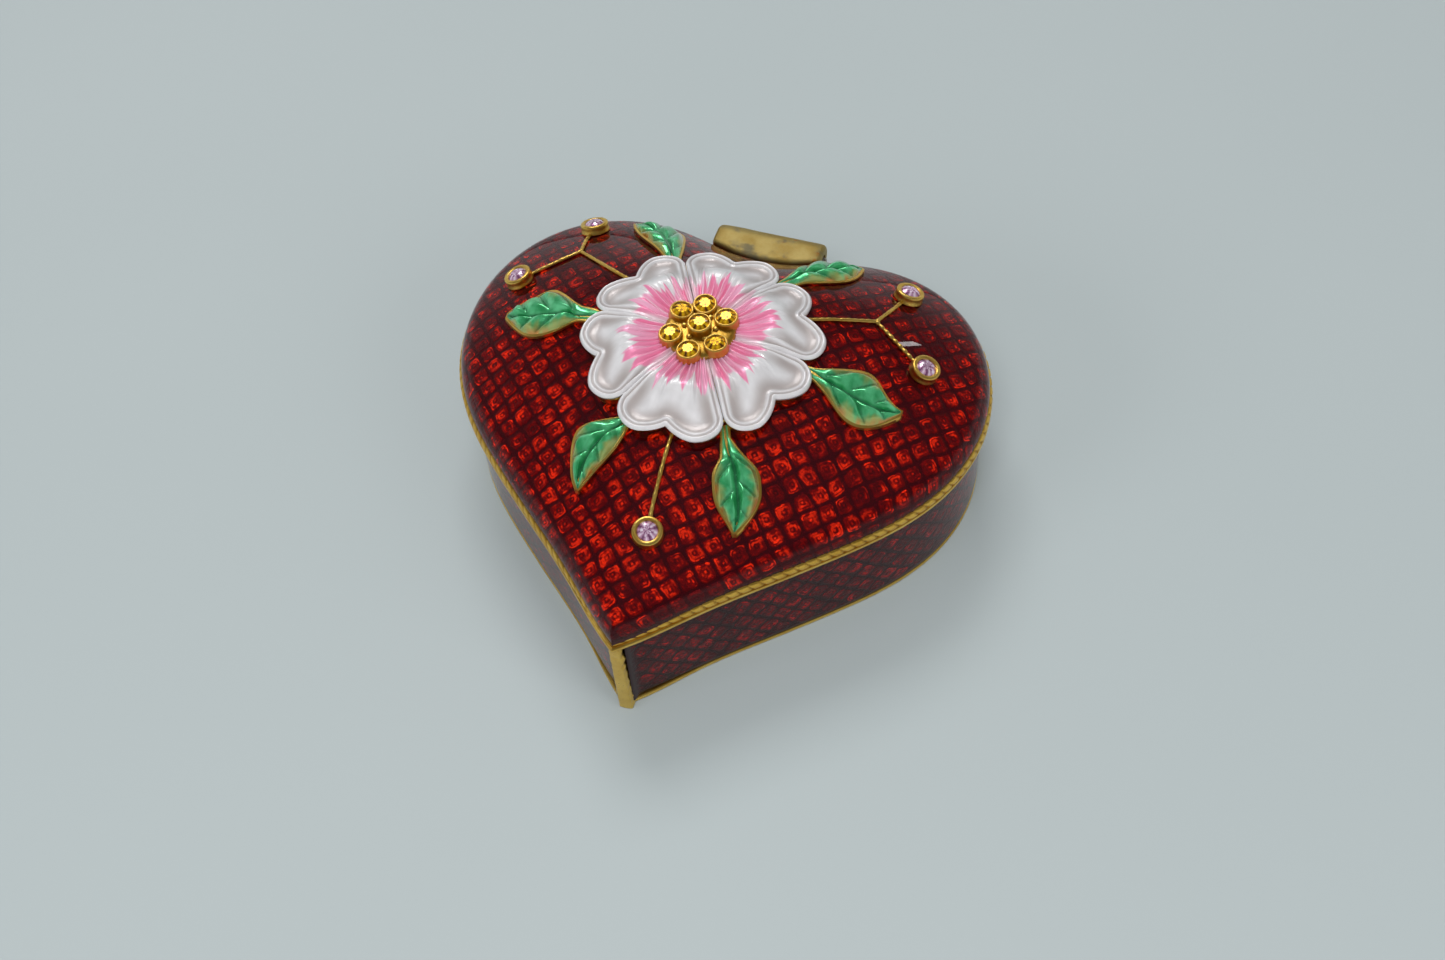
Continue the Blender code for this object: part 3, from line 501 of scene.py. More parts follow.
def pearl_material():
    """Pearly white enamel, streaked with pink round the flower's centre. The lattice map holds degrees and radius."""
    g = Nodes("pearl_enamel")
    angle, radius, _ = g.split(g.uv("lattice"))
    edge, across, _ = g.split(g.uv("edge"))
    slow = g.noise(g.join(angle, 0.0, 3.0), 0.07, 1, 0.5)
    shaken = g.math("ADD", angle, g.math("MULTIPLY", g.noise(g.join(angle, 1.0), 0.08, 2, 0.6), 22.0))
    teeth = g.math("PINGPONG", shaken, 5.6)
    length = g.math("ADD", 5.2, g.math("ADD", g.math("MULTIPLY", teeth, 0.44), g.math("MULTIPLY", slow, 6.4)))
    mask = g.span(g.math("SUBTRACT", length, radius), -0.15, 0.45)
    flute = g.noise(g.join(angle, g.math("MULTIPLY", radius, 0.2)), 0.28, 2, 0.5)
    gaps = g.span(flute, 0.40, 0.55)
    ridge = g.span(g.noise(g.join(angle, g.math("MULTIPLY", radius, 0.15), 9.0), 0.55, 1, 0.5), 0.60, 0.70)
    pink = g.mix(g.math("MULTIPLY", gaps, 0.8), (0.78, 0.34, 0.50), (0.76, 0.14, 0.31))
    pink = g.mix(g.math("MULTIPLY", ridge, 0.6), pink, (0.80, 0.66, 0.70))
    strength = g.math("MULTIPLY", mask, 0.92)
    strength = g.math("MULTIPLY", strength, g.span(edge, 0.15, 0.9, 0.35, 1.0))
    soft = g.noise(g.join(g.math("MULTIPLY", angle, 0.3), radius), 0.5, 2, 0.5)
    white = g.mix(soft, (0.58, 0.56, 0.565), (0.79, 0.775, 0.79))
    # painted shade: beige grey where the petal's painted shade value is high, in the dish and the groove near the rim
    dish = g.attribute("groove")
    white = g.mix(dish, white, (0.27, 0.215, 0.195))
    base = g.mix(strength, white, pink)
    brush = g.noise(g.join(g.math("MULTIPLY", angle, 2.0), g.math("MULTIPLY", radius, 0.35)), 1.1, 2, 0.6)
    h = g.math("ADD", g.math("MULTIPLY", brush, 0.5), g.math("MULTIPLY", g.noise(g.join(angle, g.math("MULTIPLY", radius, 4.0)), 2.0, 2, 0.6), 0.3))
    g.set(Base_Color=base, Metallic=0.25, Roughness=0.34, Normal=g.bump(h, 0.00006))
    g.set(Coat_Weight=0.6, Coat_Roughness=0.16, Coat_IOR=1.4)
    return g.mat


def leaf_material():
    """Pearly green enamel with painted shade along the midrib and in the creases between the lobes, turning olive gold
    towards the edge.
    """
    g = Nodes("green_enamel")
    t, w, _ = g.split(g.uv("lattice"))
    aw = g.math("ABSOLUTE", w)
    cloud = g.noise(g.join(t, g.math("MULTIPLY", w, 3.0)), 0.55, 3, 0.55)
    hollow = g.attribute("groove")
    base = g.mix(g.span(cloud, 0.35, 0.68), (0.030, 0.36, 0.115), (0.11, 0.60, 0.26))
    gilt = g.math("MULTIPLY", g.span(g.math("ADD", aw, g.math("MULTIPLY", g.math("SUBTRACT", g.noise(g.join(t, w, 4.0), 0.8, 2, 0.5), 0.5), 1.1)), 0.55, 1.0), 0.85)
    base = g.mix(gilt, base, (0.40, 0.40, 0.10))
    rust = g.noise(g.join(t, w, 11.0), 0.35, 2, 0.5)
    base = g.mix(g.math("MULTIPLY", g.math("MULTIPLY", g.span(aw, 0.72, 0.95), g.span(rust, 0.5, 0.6)), 0.8), base, (0.62, 0.20, 0.03))
    # painted shade: near black green along the midrib and in the creases
    base = g.mix(g.math("MULTIPLY", hollow, 0.8), base, (0.004, 0.085, 0.03))
    line = g.noise(g.join(g.math("MULTIPLY", t, 0.4), g.math("MULTIPLY", w, 9.0)), 1.0, 2, 0.5)
    g.set(Base_Color=base, Metallic=0.62, Roughness=0.24, Normal=g.bump(line, 0.00005))
    g.set(Coat_Weight=0.9, Coat_Roughness=0.07, Coat_IOR=1.5)
    return g.mat


def crystal(name, light, mid, deep, radius):
    """A foil-backed stone: its facets in the mesh, and painted light and dark wedges in its colour standing for the
    back facets' reflections seen through them.
    """
    g = Nodes(name)
    where = g.vector("SCALE", g.coords(), 1000.0 / radius)
    x, y, z = g.split(where)
    turn = g.math("MULTIPLY", g.math("ARCTAN2", y, x), 8 / (2 * math.pi))
    r = g.math("SQRT", g.math("ADD", g.math("MULTIPLY", x, x), g.math("MULTIPLY", y, y)))
    wedge = g.math("FRACT", g.math("ADD", turn, g.math("MULTIPLY", g.math("GREATER_THAN", r, 0.36), 0.5)))
    ring = g.math("GREATER_THAN", r, 0.36)
    cell = g.white(g.join(g.math("FLOOR", g.math("MULTIPLY", turn, 2.0)), ring, g.math("GREATER_THAN", r, 0.62)))
    # painted reflection: light and dark wedges, with a random level per wedge
    facet_light_and_shade = g.math("ADD", g.math("MULTIPLY", g.math("PINGPONG", wedge, 0.5), 0.9), g.math("MULTIPLY", cell, 0.6))
    facet_light_and_shade = g.math("ADD", facet_light_and_shade, g.math("MULTIPLY", g.math("SUBTRACT", g.noise(where, 1.6, 2, 0.5), 0.5), 0.5))
    base = g.ramp(facet_light_and_shade, [(0.20, deep), (0.50, mid), (0.88, light)])
    g.set(Base_Color=base, Metallic=0.6, Roughness=0.14)
    g.set(Coat_Weight=0.5, Coat_Roughness=0.03, Coat_IOR=1.4)
    return g.mat


def cloth(name, low, high, scale, sheen, depth):
    """A short pile: mottled colour and a fine nap."""
    g = Nodes(name)
    where = g.vector("SCALE", g.coords(), 1000.0)
    nap = g.noise(where, 6.0 * scale, 4, 0.75)
    cloud = g.noise(where, 0.25 * scale, 3, 0.6)
    base = g.mix(g.math("ADD", g.math("MULTIPLY", nap, 0.6), g.math("MULTIPLY", cloud, 0.5)), low, high)
    g.set(Base_Color=base, Metallic=0.0, Roughness=0.95, Normal=g.bump(nap, depth))
    g.set(Sheen_Weight=sheen, Sheen_Roughness=0.35, Sheen_Tint=(*high, 1.0))
    return g.mat


def plain_metal(name, colour, rough):
    g = Nodes(name)
    where = g.vector("SCALE", g.coords(), 1000.0)
    turned = g.noise(g.vector("MULTIPLY", where, (6.0, 1.0, 1.0)), 1.6, 3, 0.6)
    base = g.mix(turned, tuple(c * 0.75 for c in colour), colour)
    g.set(Base_Color=base, Metallic=1.0, Roughness=g.math("ADD", rough, g.math("MULTIPLY", turned, 0.15)), Normal=g.bump(turned, 0.00003))
    return g.mat


LID_RED = lattice_enamel("red_enamel_lid", (1.0, 0.028, 0.004), (0.20, 0.001, 0.001), (0.045, 0.0005, 0.003), 0.55, 0.26, 0.00034, 0.9, 1.0)
# the walls' enamel is a darker copy of the lid's: painted shade for the side walls seen side on
SHADED_WALL_RED = lattice_enamel("red_enamel_walls_painted_shade", (0.50, 0.008, 0.008), (0.13, 0.001, 0.003), (0.022, 0.001, 0.002), 0.6, 0.32, 0.00022, 0.7, 0.9)
GOLD = gold("gold_plating", (0.85, 0.56, 0.13))
ROPE_GOLD = gold("gold_rope", (0.85, 0.53, 0.10), groove=True)
HINGE_GOLD = gold("worn_gold", (0.43, 0.33, 0.12), 0.52, wear=0.7)
PEARL = pearl_material()
GREEN = leaf_material()
AMBER = crystal("amber_crystal", (0.90, 0.54, 0.006), (0.55, 0.27, 0.001), (0.10, 0.032, 0.0005), 1.36)
PINK = crystal("pink_crystal", (0.96, 0.84, 0.95), (0.60, 0.33, 0.50), (0.20, 0.07, 0.16), 1.45)
FELT = cloth("dark_felt", (0.006, 0.005, 0.006), (0.035, 0.03, 0.034), 1.0, 0.25, 0.0002)
VELVET = cloth("velvet", (0.07, 0.002, 0.008), (0.22, 0.012, 0.03), 1.4, 0.8, 0.00015)
NICKEL = plain_metal("nickel_magnet", (0.62, 0.62, 0.60), 0.2)
STEEL = plain_metal("hinge_pin_steel", (0.34, 0.30, 0.25), 0.3)


# ------------------------------------------------------------------ base
def on(obj, body, slot, *nodes):
    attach(obj, body)
    if nodes:
        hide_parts(*nodes)
    return obj


N = 480
ANG, ARC, HALF_LEN = outline_angles(N)


def tip_near(angles, reach):
    """1 at the point of the heart, falling to 0 that far along the outline."""
    gap = 43.6 * np.abs(np.arctan2(np.cos(angles), -np.sin(angles)))
    return np.exp(-((gap / reach) ** 2))


def ring(out, z, angles=ANG, foot=0.0):
    r = heart_r(angles, out) + foot * tip_near(angles, 7.0)
    return np.stack([r * np.cos(angles), r * np.sin(angles), np.broadcast_to(z, r.shape)], -1)


tray = [
    ring(-1.2, 1.1), ring(-1.2, 0.42), ring(-1.08, 0.3), ring(-0.14, 0.3, foot=0.5), ring(-0.04, 0.34, foot=0.55), ring(0.0, 0.44, foot=0.55), ring(0.0, 0.78, foot=0.5),
    ring(-0.05, 0.87, foot=0.45), ring(-0.14, 0.91, foot=0.3), ring(-0.5, 0.93), ring(-0.5, 15.08), ring(-0.14, 15.09), ring(-0.04, 15.13), ring(0.0, 15.22),
    ring(0.0, 15.48), ring(-0.05, 15.57), ring(-0.14, 15.6), ring(-1.58, 15.6), ring(-1.67, 15.64), ring(-1.7, 15.72), ring(-1.7, 16.5),
    ring(-1.75, 16.64), ring(-1.88, 16.7), ring(-2.32, 16.7), ring(-2.45, 16.64), ring(-2.5, 16.5), ring(-2.5, 3.1), ring(-2.56, 2.6), ring(-2.75, 2.36), ring(-3.1, 2.3),
]
on(loft("base_tray", tray, GOLD, sharp=50), "base", "gold_plate", "base_shell")

magnet_low, magnet_high = (c * 1000 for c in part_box("base_magnet"))
magnet_r = (magnet_high.x - magnet_low.x) / 2
MAGNET_Y = (magnet_low.y + magnet_high.y) / 2 - SHIFT


def upright(x, y, z, flip=False):
    m = Matrix.Translation(Vector(place((x, y, z))))
    return m @ Matrix.Rotation(math.pi, 4, "X") if flip else m


hole = magnet_r + 0.3
boss = [(3.6, 0), (3.6, 12.95), (3.52, 13.07), (3.4, 13.1), (hole + 0.12, 13.1), (hole, 12.98), (hole, 11.05)]
on(lathe("base_magnet_boss", boss, GOLD, upright(0, MAGNET_Y, 2.3), sharp=50), "base", "gold_plate")


def magnet(name, x, y, z, body, node):
    e = 0.15
    profile = [(magnet_r - e, 0), (magnet_r, e), (magnet_r, 1.8 - e), (magnet_r - e, 1.8)]
    on(lathe(name, profile, NICKEL, upright(x, y, z), sharp=40), body, "magnet", node)


magnet("base_magnet_disc", 0, MAGNET_Y, magnet_low.z, "base", "base_magnet")

pad = [ring(-1.62, 0.0), ring(-1.52, 0.08), ring(-1.5, 0.2), ring(-1.5, 0.62), ring(-1.56, 0.75), ring(-1.75, 0.8)]
on(loft("felt_pad", pad, FELT, sharp=60), "base", "felt", "base_felt_pad")

cut_y = MAGNET_Y + 3.6 + 0.3


def cut_ring(out, z, back=0.0):
    p = ring(out, z)
    p[:, 1] = np.maximum(p[:, 1], cut_y + back)
    return p


lining = [cut_ring(-2.9, 2.55, 0.1), cut_ring(-2.8, 2.7), cut_ring(-2.8, 3.1), cut_ring(-2.92, 3.28, 0.12), cut_ring(-3.15, 3.37, 0.3), cut_ring(-3.5, 3.4, 0.6)]
on(loft("velvet_lining", lining, VELVET, sharp=70), "base", "velvet", "base_lining")

# front strip, folded round the point of the heart
strip_half = 0.93
zs = np.concatenate([[0.34, 0.40, 0.55], np.linspace(1.0, 15.1, 60), [15.35, 15.5, 15.58]])
xs = np.array([-1.0, -0.94, -0.8, -0.5, -0.16, 0, 0.16, 0.5, 0.8, 0.94, 1.0])
top, bottom = [], []
for z in zs:
    row, under = [], []
    proud = 0.86 - 0.26 * z / 15.6
    for s in xs:
        ragged = 0.05 * math.sin(3.1 * z) + 0.04 * math.sin(7.7 * z + 1) + 0.16 * math.exp(-(((z - 12.6) / 0.5) ** 2)) - 0.12 * math.exp(-(((z - 11.4) / 0.35) ** 2))
        x = s * (strip_half - 0.010 * z + (ragged if s > 0 else 0.3 * ragged)) + 0.02 * (15 - z)
        y = -float(heart_r(-math.pi / 2)) - proud + 0.10 * abs(x) ** 2
        soft = 0.10 * (abs(s) > 0.97) + 0.02 * (0.9 < abs(s) < 0.97) + 0.08 * (z < 0.38 or z > 15.55)
        file_mark = 0.012 * math.sin(11.3 * z + 2.1 * x)
        dent = 0.05 * math.exp(-(((z - 13.6) / 0.22) ** 2) - ((x / 0.5) ** 2))
        row.append((x, y + soft + file_mark + dent, z))
        under.append((x, y + 2.0, z))
    top.append(row)
    bottom.append(under)
on(slab("front_strip", np.array(top), np.array(bottom), GOLD, sharp=60), "base", "gold_plate")

# enamel on the two sides
for side, sign in (("right", 1), ("left", -1)):
    r0 = float(heart_r(-math.pi / 2))
    start = math.atan2(-math.sqrt((r0 - 1.0) ** 2 - 1.3), 1.14)
    t = np.linspace(start, math.pi / 2 - 0.0003, 6001)
    r = heart_r(t)
    s = np.concatenate([[0], np.cumsum(np.hypot(np.diff(r * np.cos(t)), np.diff(r * np.sin(t))))])
    cols = 420
    even = np.linspace(0, s[-1], cols)
    even = np.unique(np.concatenate([even, [0.05, 0.12, 0.22, 0.35, 0.5]]))
    a = np.interp(even, s, t)
    z = np.concatenate([[0.93, 0.97, 1.05, 1.18, 1.35], np.linspace(1.6, 14.4, 26), [14.65, 14.82, 14.95, 15.03, 15.07]])
    edge = np.minimum(np.minimum(z - 0.9, 15.1 - z)[:, None], even[None, :])
    sag = -0.14 * (1 - smooth(edge, 0, 0.55)) - 0.02
    grid = np.zeros((len(z), len(a), 3))
    for i, zi in enumerate(z):
        rr = heart_r(a, 1.0) - heart_r(a)
        reach = heart_r(a) + rr * (sag[i] + 0.72 * np.exp(-((even / 0.55) ** 2)))
        grid[i] = np.stack([sign * reach * np.cos(a), reach * np.sin(a), np.full_like(a, zi)], -1)
    back = np.stack([ring(-0.5, zi, a) * [sign, 1, 1] for zi in z])
    uv = np.stack(np.broadcast_arrays(sign * even[None, :], (z - 8.0)[:, None]), -1)
    second = np.stack([edge, np.zeros_like(edge)], -1)
    on(slab(f"wall_enamel_{side}", grid, back, SHADED_WALL_RED, uv=uv, second=second, sharp=60), "base", "red_enamel", f"base_enamel_{side}")

# ------------------------------------------------------------------ hinge
pin = [(0.45, PIN_LEFT), (0.62, PIN_LEFT + 0.06), (PIN_R, PIN_LEFT + 0.22), (PIN_R, PIN_RIGHT - 0.22), (0.62, PIN_RIGHT - 0.06), (0.45, PIN_RIGHT)]
pin_matrix = Matrix.Translation(Vector(place((0, AXIS_Y, AXIS_Z)))) @ Matrix.Rotation(math.pi / 2, 4, "Y")
on(lathe("pin", pin, STEEL, pin_matrix, 48, sharp=50), "base", "hinge_pin", "hinge_pin")

around = np.linspace(0, 2 * np.pi, 144, endpoint=False)


def block_section(x, shrink):
    """The block's outline at x about the pin, as radii."""
    a = math.atan2(22.5, x)
    front = float(heart_r(a, RIM_OUT)) * math.sin(a) - 0.15
    front = max(front, 22.1) - AXIS_Y
    hump = 0.10 * math.exp(-(((x + 5.2) / 2.2) ** 2)) - 0.12 * smooth(abs(x), 6.5, 8.3)
    c, s = np.cos(around), np.sin(around)
    r = np.full(len(around), BARREL_R)
    with np.errstate(divide="ignore", invalid="ignore"):
        to_front = np.where(c < -1e-6, front / c, 1e9)
        to_top = np.where(s > 1e-6, (BARREL_R + hump) / s, 1e9)
        to_low = np.where(s < -1e-6, -0.62 / s, 1e9)
    box = np.minimum(np.minimum(to_front, to_top), to_low)
    r = np.where(c < 0, np.maximum(np.minimum(box, 5.5), np.where(s > 0, 0, 0)), BARREL_R + hump * np.clip(s, 0, 1))
    r = np.where((c < 0) & (s < 0), np.maximum(box, BARREL_R), r)
    r = np.where((c < 0) & (s < 0) & (r > -front / np.maximum(-c, 1e-6)), -front / np.maximum(-c, 1e-6), r)
    kernel = np.exp(-0.5 * (np.arange(-7, 8) / 2.6) ** 2)
    kernel /= kernel.sum()
    r = np.convolve(np.concatenate([r[-7:], r, r[:7]]), kernel, "valid")
    return r - shrink


stations = [(-1.0, 0.75), (-0.997, 0.42), (-0.985, 0.2), (-0.965, 0.07), (-0.94, 0.0)] + [(k, 0.0) for k in np.linspace(-0.88, 0.88, 40)] + [(0.94, 0.0), (0.965, 0.07), (0.985, 0.2), (0.997, 0.42), (1.0, 0.75)]
rings = []
for k, shrink in stations:
    x = k * BLOCK_HALF
    r = block_section(x, shrink)
    rings.append(np.stack([np.full(len(around), x), AXIS_Y + r * np.cos(around), AXIS_Z + r * np.sin(around)], -1))
for k in (1.0, 0.97, 0, -0.97, -1.0):
    rr = PIN_R + (0.42 if abs(k) == 1 else 0.3)
    rings.append(np.stack([np.full(len(around), k * BLOCK_HALF), AXIS_Y + rr * np.cos(around), AXIS_Z + rr * np.sin(around)], -1))
block = loft("hinge_block", rings, HINGE_GOLD, loop=True, sharp=50)


def carve(obj, cutters):
    """Takes each cutter's shape out of a piece, for good."""
    for cutter in cutters:
        step = obj.modifiers.new("slot", "BOOLEAN")
        step.operation, step.solver, step.object = "DIFFERENCE", "EXACT", cutter
    bpy.context.view_layer.update()
    cut = bpy.data.meshes.new_from_object(obj.evaluated_get(bpy.context.evaluated_depsgraph_get()))
    obj.modifiers.clear()
    obj.data = cut
    cut.set_sharp_from_angle(angle=math.radians(40))
    for cutter in cutters:
        bpy.data.objects.remove(cutter, do_unlink=True)


ear_path = [(-1.6, -6.0)] + [(1.6 * math.cos(math.radians(t)), 1.6 * math.sin(math.radians(t))) for t in range(180, 99, -5)]
end = ear_path[-1]
ear_path += [(end[0] + 6 * math.cos(math.radians(10)), end[1] + 6 * math.sin(math.radians(10))), (6.5, -6.0)]
slots = []
for x in (-5.6, 5.6):
    pair = [[(x + side * 0.9, AXIS_Y + py, AXIS_Z + pz) for py, pz in ear_path] for side in (-1, 1)]
    slots.append(loft("slot", pair, HINGE_GOLD, flat=True))
carve(block, slots)
on(block, "lid", "hinge_gold", "hinge_lid")
bracket = NODES["hinge_base"]
bracket.data.materials.clear()
bracket.data.materials.append(HINGE_GOLD)
ease = bracket.modifiers.new("eased edges", "BEVEL")
ease.width, ease.segments, ease.limit_method, ease.angle_limit = 0.00012, 2, "ANGLE", math.radians(35)

# ------------------------------------------------------------------ lid
M = 600
A2, S2, _ = outline_angles(M)


def dome(angles, depth, shoulder, crown, foot=None):
    """Rings of the domed surface that lies depth under the enamel's top, up towards the crown, starting with a ring at
    the foot height when one is given.
    """
    r = SHOULDER_R - depth
    end, end_out, end_z = shoulder_end(angles, depth)
    centre = SHOULDER_R - DOME_OUT
    rings = []
    if foot is not None:
        rings.append(ring(r - centre, foot, angles))
    for i in range(shoulder + 1):
        a = end * i / shoulder
        reach = heart_r(angles, 1.0) - heart_r(angles)
        reach = heart_r(angles) + reach * (r * np.cos(a) - centre)
        rings.append(np.stack([reach * np.cos(angles), reach * np.sin(angles), SHOULDER_Z + r * np.sin(a)], -1))
    for i in range(1, crown):
        s = 1 - i / crown
        reach = crown_r(angles, s, end_out)
        plan = np.stack([reach * np.cos(angles), reach * np.sin(angles)], -1)
        width = 9.0 * float(smooth(1 - s, 0, 0.28))
        if width > 0.3:
            k = np.arange(-27, 28)
            kernel = np.exp(-0.5 * (k / width) ** 2)
            kernel /= kernel.sum()
            long = np.concatenate([plan[-27:], plan, plan[:27]])
            plan = np.stack([np.convolve(long[:, c], kernel, "valid") for c in (0, 1)], -1)
        rings.append(np.column_stack([plan, end_z + (APEX_Z - depth - end_z) * (1 - s * s)]))
    return np.array(rings)


outer = dome(A2, 0, 12, 44, foot=16.95)
under = dome(A2, 0.55, 4, 14, foot=16.95)[::-1]
rings = np.concatenate([outer, under])[::-1]
rings = np.concatenate([under, outer])
up = np.concatenate([[0], np.cumsum(np.linalg.norm(np.diff(outer, axis=0), axis=2).mean(1))])
steps = np.linalg.norm(np.diff(outer, axis=0), axis=2)
unrolled = np.hypot(outer[:, :, 0], outer[:, :, 1])
for k in range(20, -1, -1):
    unrolled[k] = unrolled[k + 1] + steps[k]
way = outer[:, :, :2] / np.hypot(outer[:, :, 0], outer[:, :, 1])[:, :, None]
lattice_map = np.concatenate([under[:, :, :2], way * unrolled[:, :, None]])
second = np.zeros((len(rings), M, 2))
second[len(under) :, :, 0] = up[:, None]
second[: len(under), :, 0] = 0.0
# the shell starts at the underside's top, goes down to the foot and up again to the crown
on(
    loft("lid_enamel_skin", rings, LID_RED, uv=lattice_map, second=second, sharp=70),
    "lid", "red_enamel", "lid_enamel",
)

inner = dome(A2, 1.9, 5, 16, foot=None)
casting = np.concatenate(
    [
        dome(A2, 0.6, 5, 16, foot=17.3)[::-1],
        np.array([ring(0.35, 17.3, A2), ring(0.42, 16.9, A2), ring(0.5, 16.0, A2), ring(0.42, 15.92, A2), ring(0.3, 15.9, A2), ring(-1.2, 15.9, A2), ring(-1.28, 15.94, A2), ring(-1.3, 16.05, A2)]),
        inner,
    ]
)
on(loft("lid_casting", casting, GOLD, sharp=60), "lid", "gold_plate", "lid_shell")

# rope rim: slanting strands, and the plain fillet under them
ROPE = 1960
A3, S3, half_len = outline_angles(ROPE)
strands = round(2 * half_len / 1.62)
phase = S3 / (2 * half_len) * strands
section = np.linspace(0, 2 * np.pi, 20, endpoint=False)
rows, hollows = [], []
unit = heart_r(A3, 1.0) - heart_r(A3)
for q in section:
    f = phase + 0.33 * np.sin(q)
    w = np.abs(((f % 1.0) - 0.5) * 2)
    dip = np.exp(-(((1 - w) / 0.22) ** 2))
    facing = np.clip(0.35 + 0.65 * np.cos(q), 0, 1)
    body = 1 - 0.34 * dip
    thin = 1 - 0.42 * tip_near(A3, 8.0)
    out = (0.40 - 0.12 * tip_near(A3, 8.0)) + 0.62 * np.cos(q) * body * thin
    z = 17.06 - 0.50 * (1 - thin) + 0.76 * np.sin(q) * (1 - 0.10 * dip) * thin
    reach = heart_r(A3) + unit * out
    rows.append(np.stack([reach * np.cos(A3), reach * np.sin(A3), z], -1))
    hollows.append(dip * facing * 0.9)
on(loft("rope_rim", rows, ROPE_GOLD, loop=True, groove=np.array(hollows)), "lid", "gold_plate")
fillet = [ring(o, z, A2) for o, z in ((0.3, 15.92), (0.88, 15.92), (0.97, 15.96), (1.0, 16.04), (1.0, 16.34), (0.96, 16.42), (0.86, 16.46), (0.3, 16.48))]
on(loft("rim_fillet", fillet, GOLD, loop=True, sharp=70), "lid", "gold_plate")

lid_mag_low, lid_mag_high = (c * 1000 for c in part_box("lid_magnet"))
LID_MAGNET_Y = (lid_mag_low.y + lid_mag_high.y) / 2 - SHIFT
boss = [(3.2, -0.2), (3.2, -3.05), (3.12, -3.17), (3.0, -3.2), (hole + 0.12, -3.2), (hole, -3.08), (hole, -1.2)]
on(lathe("lid_magnet_boss", boss, GOLD, upright(0, LID_MAGNET_Y, lid_mag_low.z + 3.2), sharp=50), "lid", "gold_plate")
magnet("lid_magnet_disc", 0, LID_MAGNET_Y, lid_mag_low.z, "lid", "lid_magnet")


# ------------------------------------------------------------------ flower
def petal_base(x, y):
    rho = np.hypot(x - FLOWER[0], y - FLOWER[1])
    back = np.maximum(0.0, y - FLOWER[1])
    return 31.0 - 2.0 * (rho / 16.5) ** 2 - 1.1 * (back / 16.5) ** 2


def petal_edge(u, index):
    side = np.clip(np.abs(np.abs(u) - 0.5) / 0.5, 0, 1)
    lean = 1 + 0.05 * np.sin(index * 2.1 + 0.7) * np.sign(u)
    lobes = PETAL_OUT - 3.3 * (1 - np.sqrt(np.clip(1 - side**2.1, 0, 1))) * lean
    notch = PETAL_OUT - (2.15 + 0.35 * math.sin(index * 1.7)) * side**1.55
    return np.where(np.abs(u) > 0.5, lobes, notch) + 0.25 * math.sin(index * 2.9)


def nearest(px, py, line):
    out = np.full(px.shape, 1e9)
    flat = np.stack([px.ravel(), py.ravel()], -1)
    best = np.full(len(flat), 1e9)
    for i in range(0, len(line), 40):
        part = line[i : i + 40]
        best = np.minimum(best, np.sqrt(((flat[:, None] - part[None]) ** 2).sum(2)).min(1))
    return best.reshape(px.shape)


def petal_plan(u, v, index, inner_r=2.6):
    first, last = PETAL_EDGES[index], PETAL_EDGES[index + 1]
    r = inner_r + (petal_edge(u, index) - inner_r) * v
    half = math.radians(first - last) / 2 - 0.03 / np.maximum(r, 2)
    a = math.radians(first + last) / 2 - u * half
    return FLOWER[0] + r * np.cos(a), FLOWER[1] + r * np.sin(a), r, a


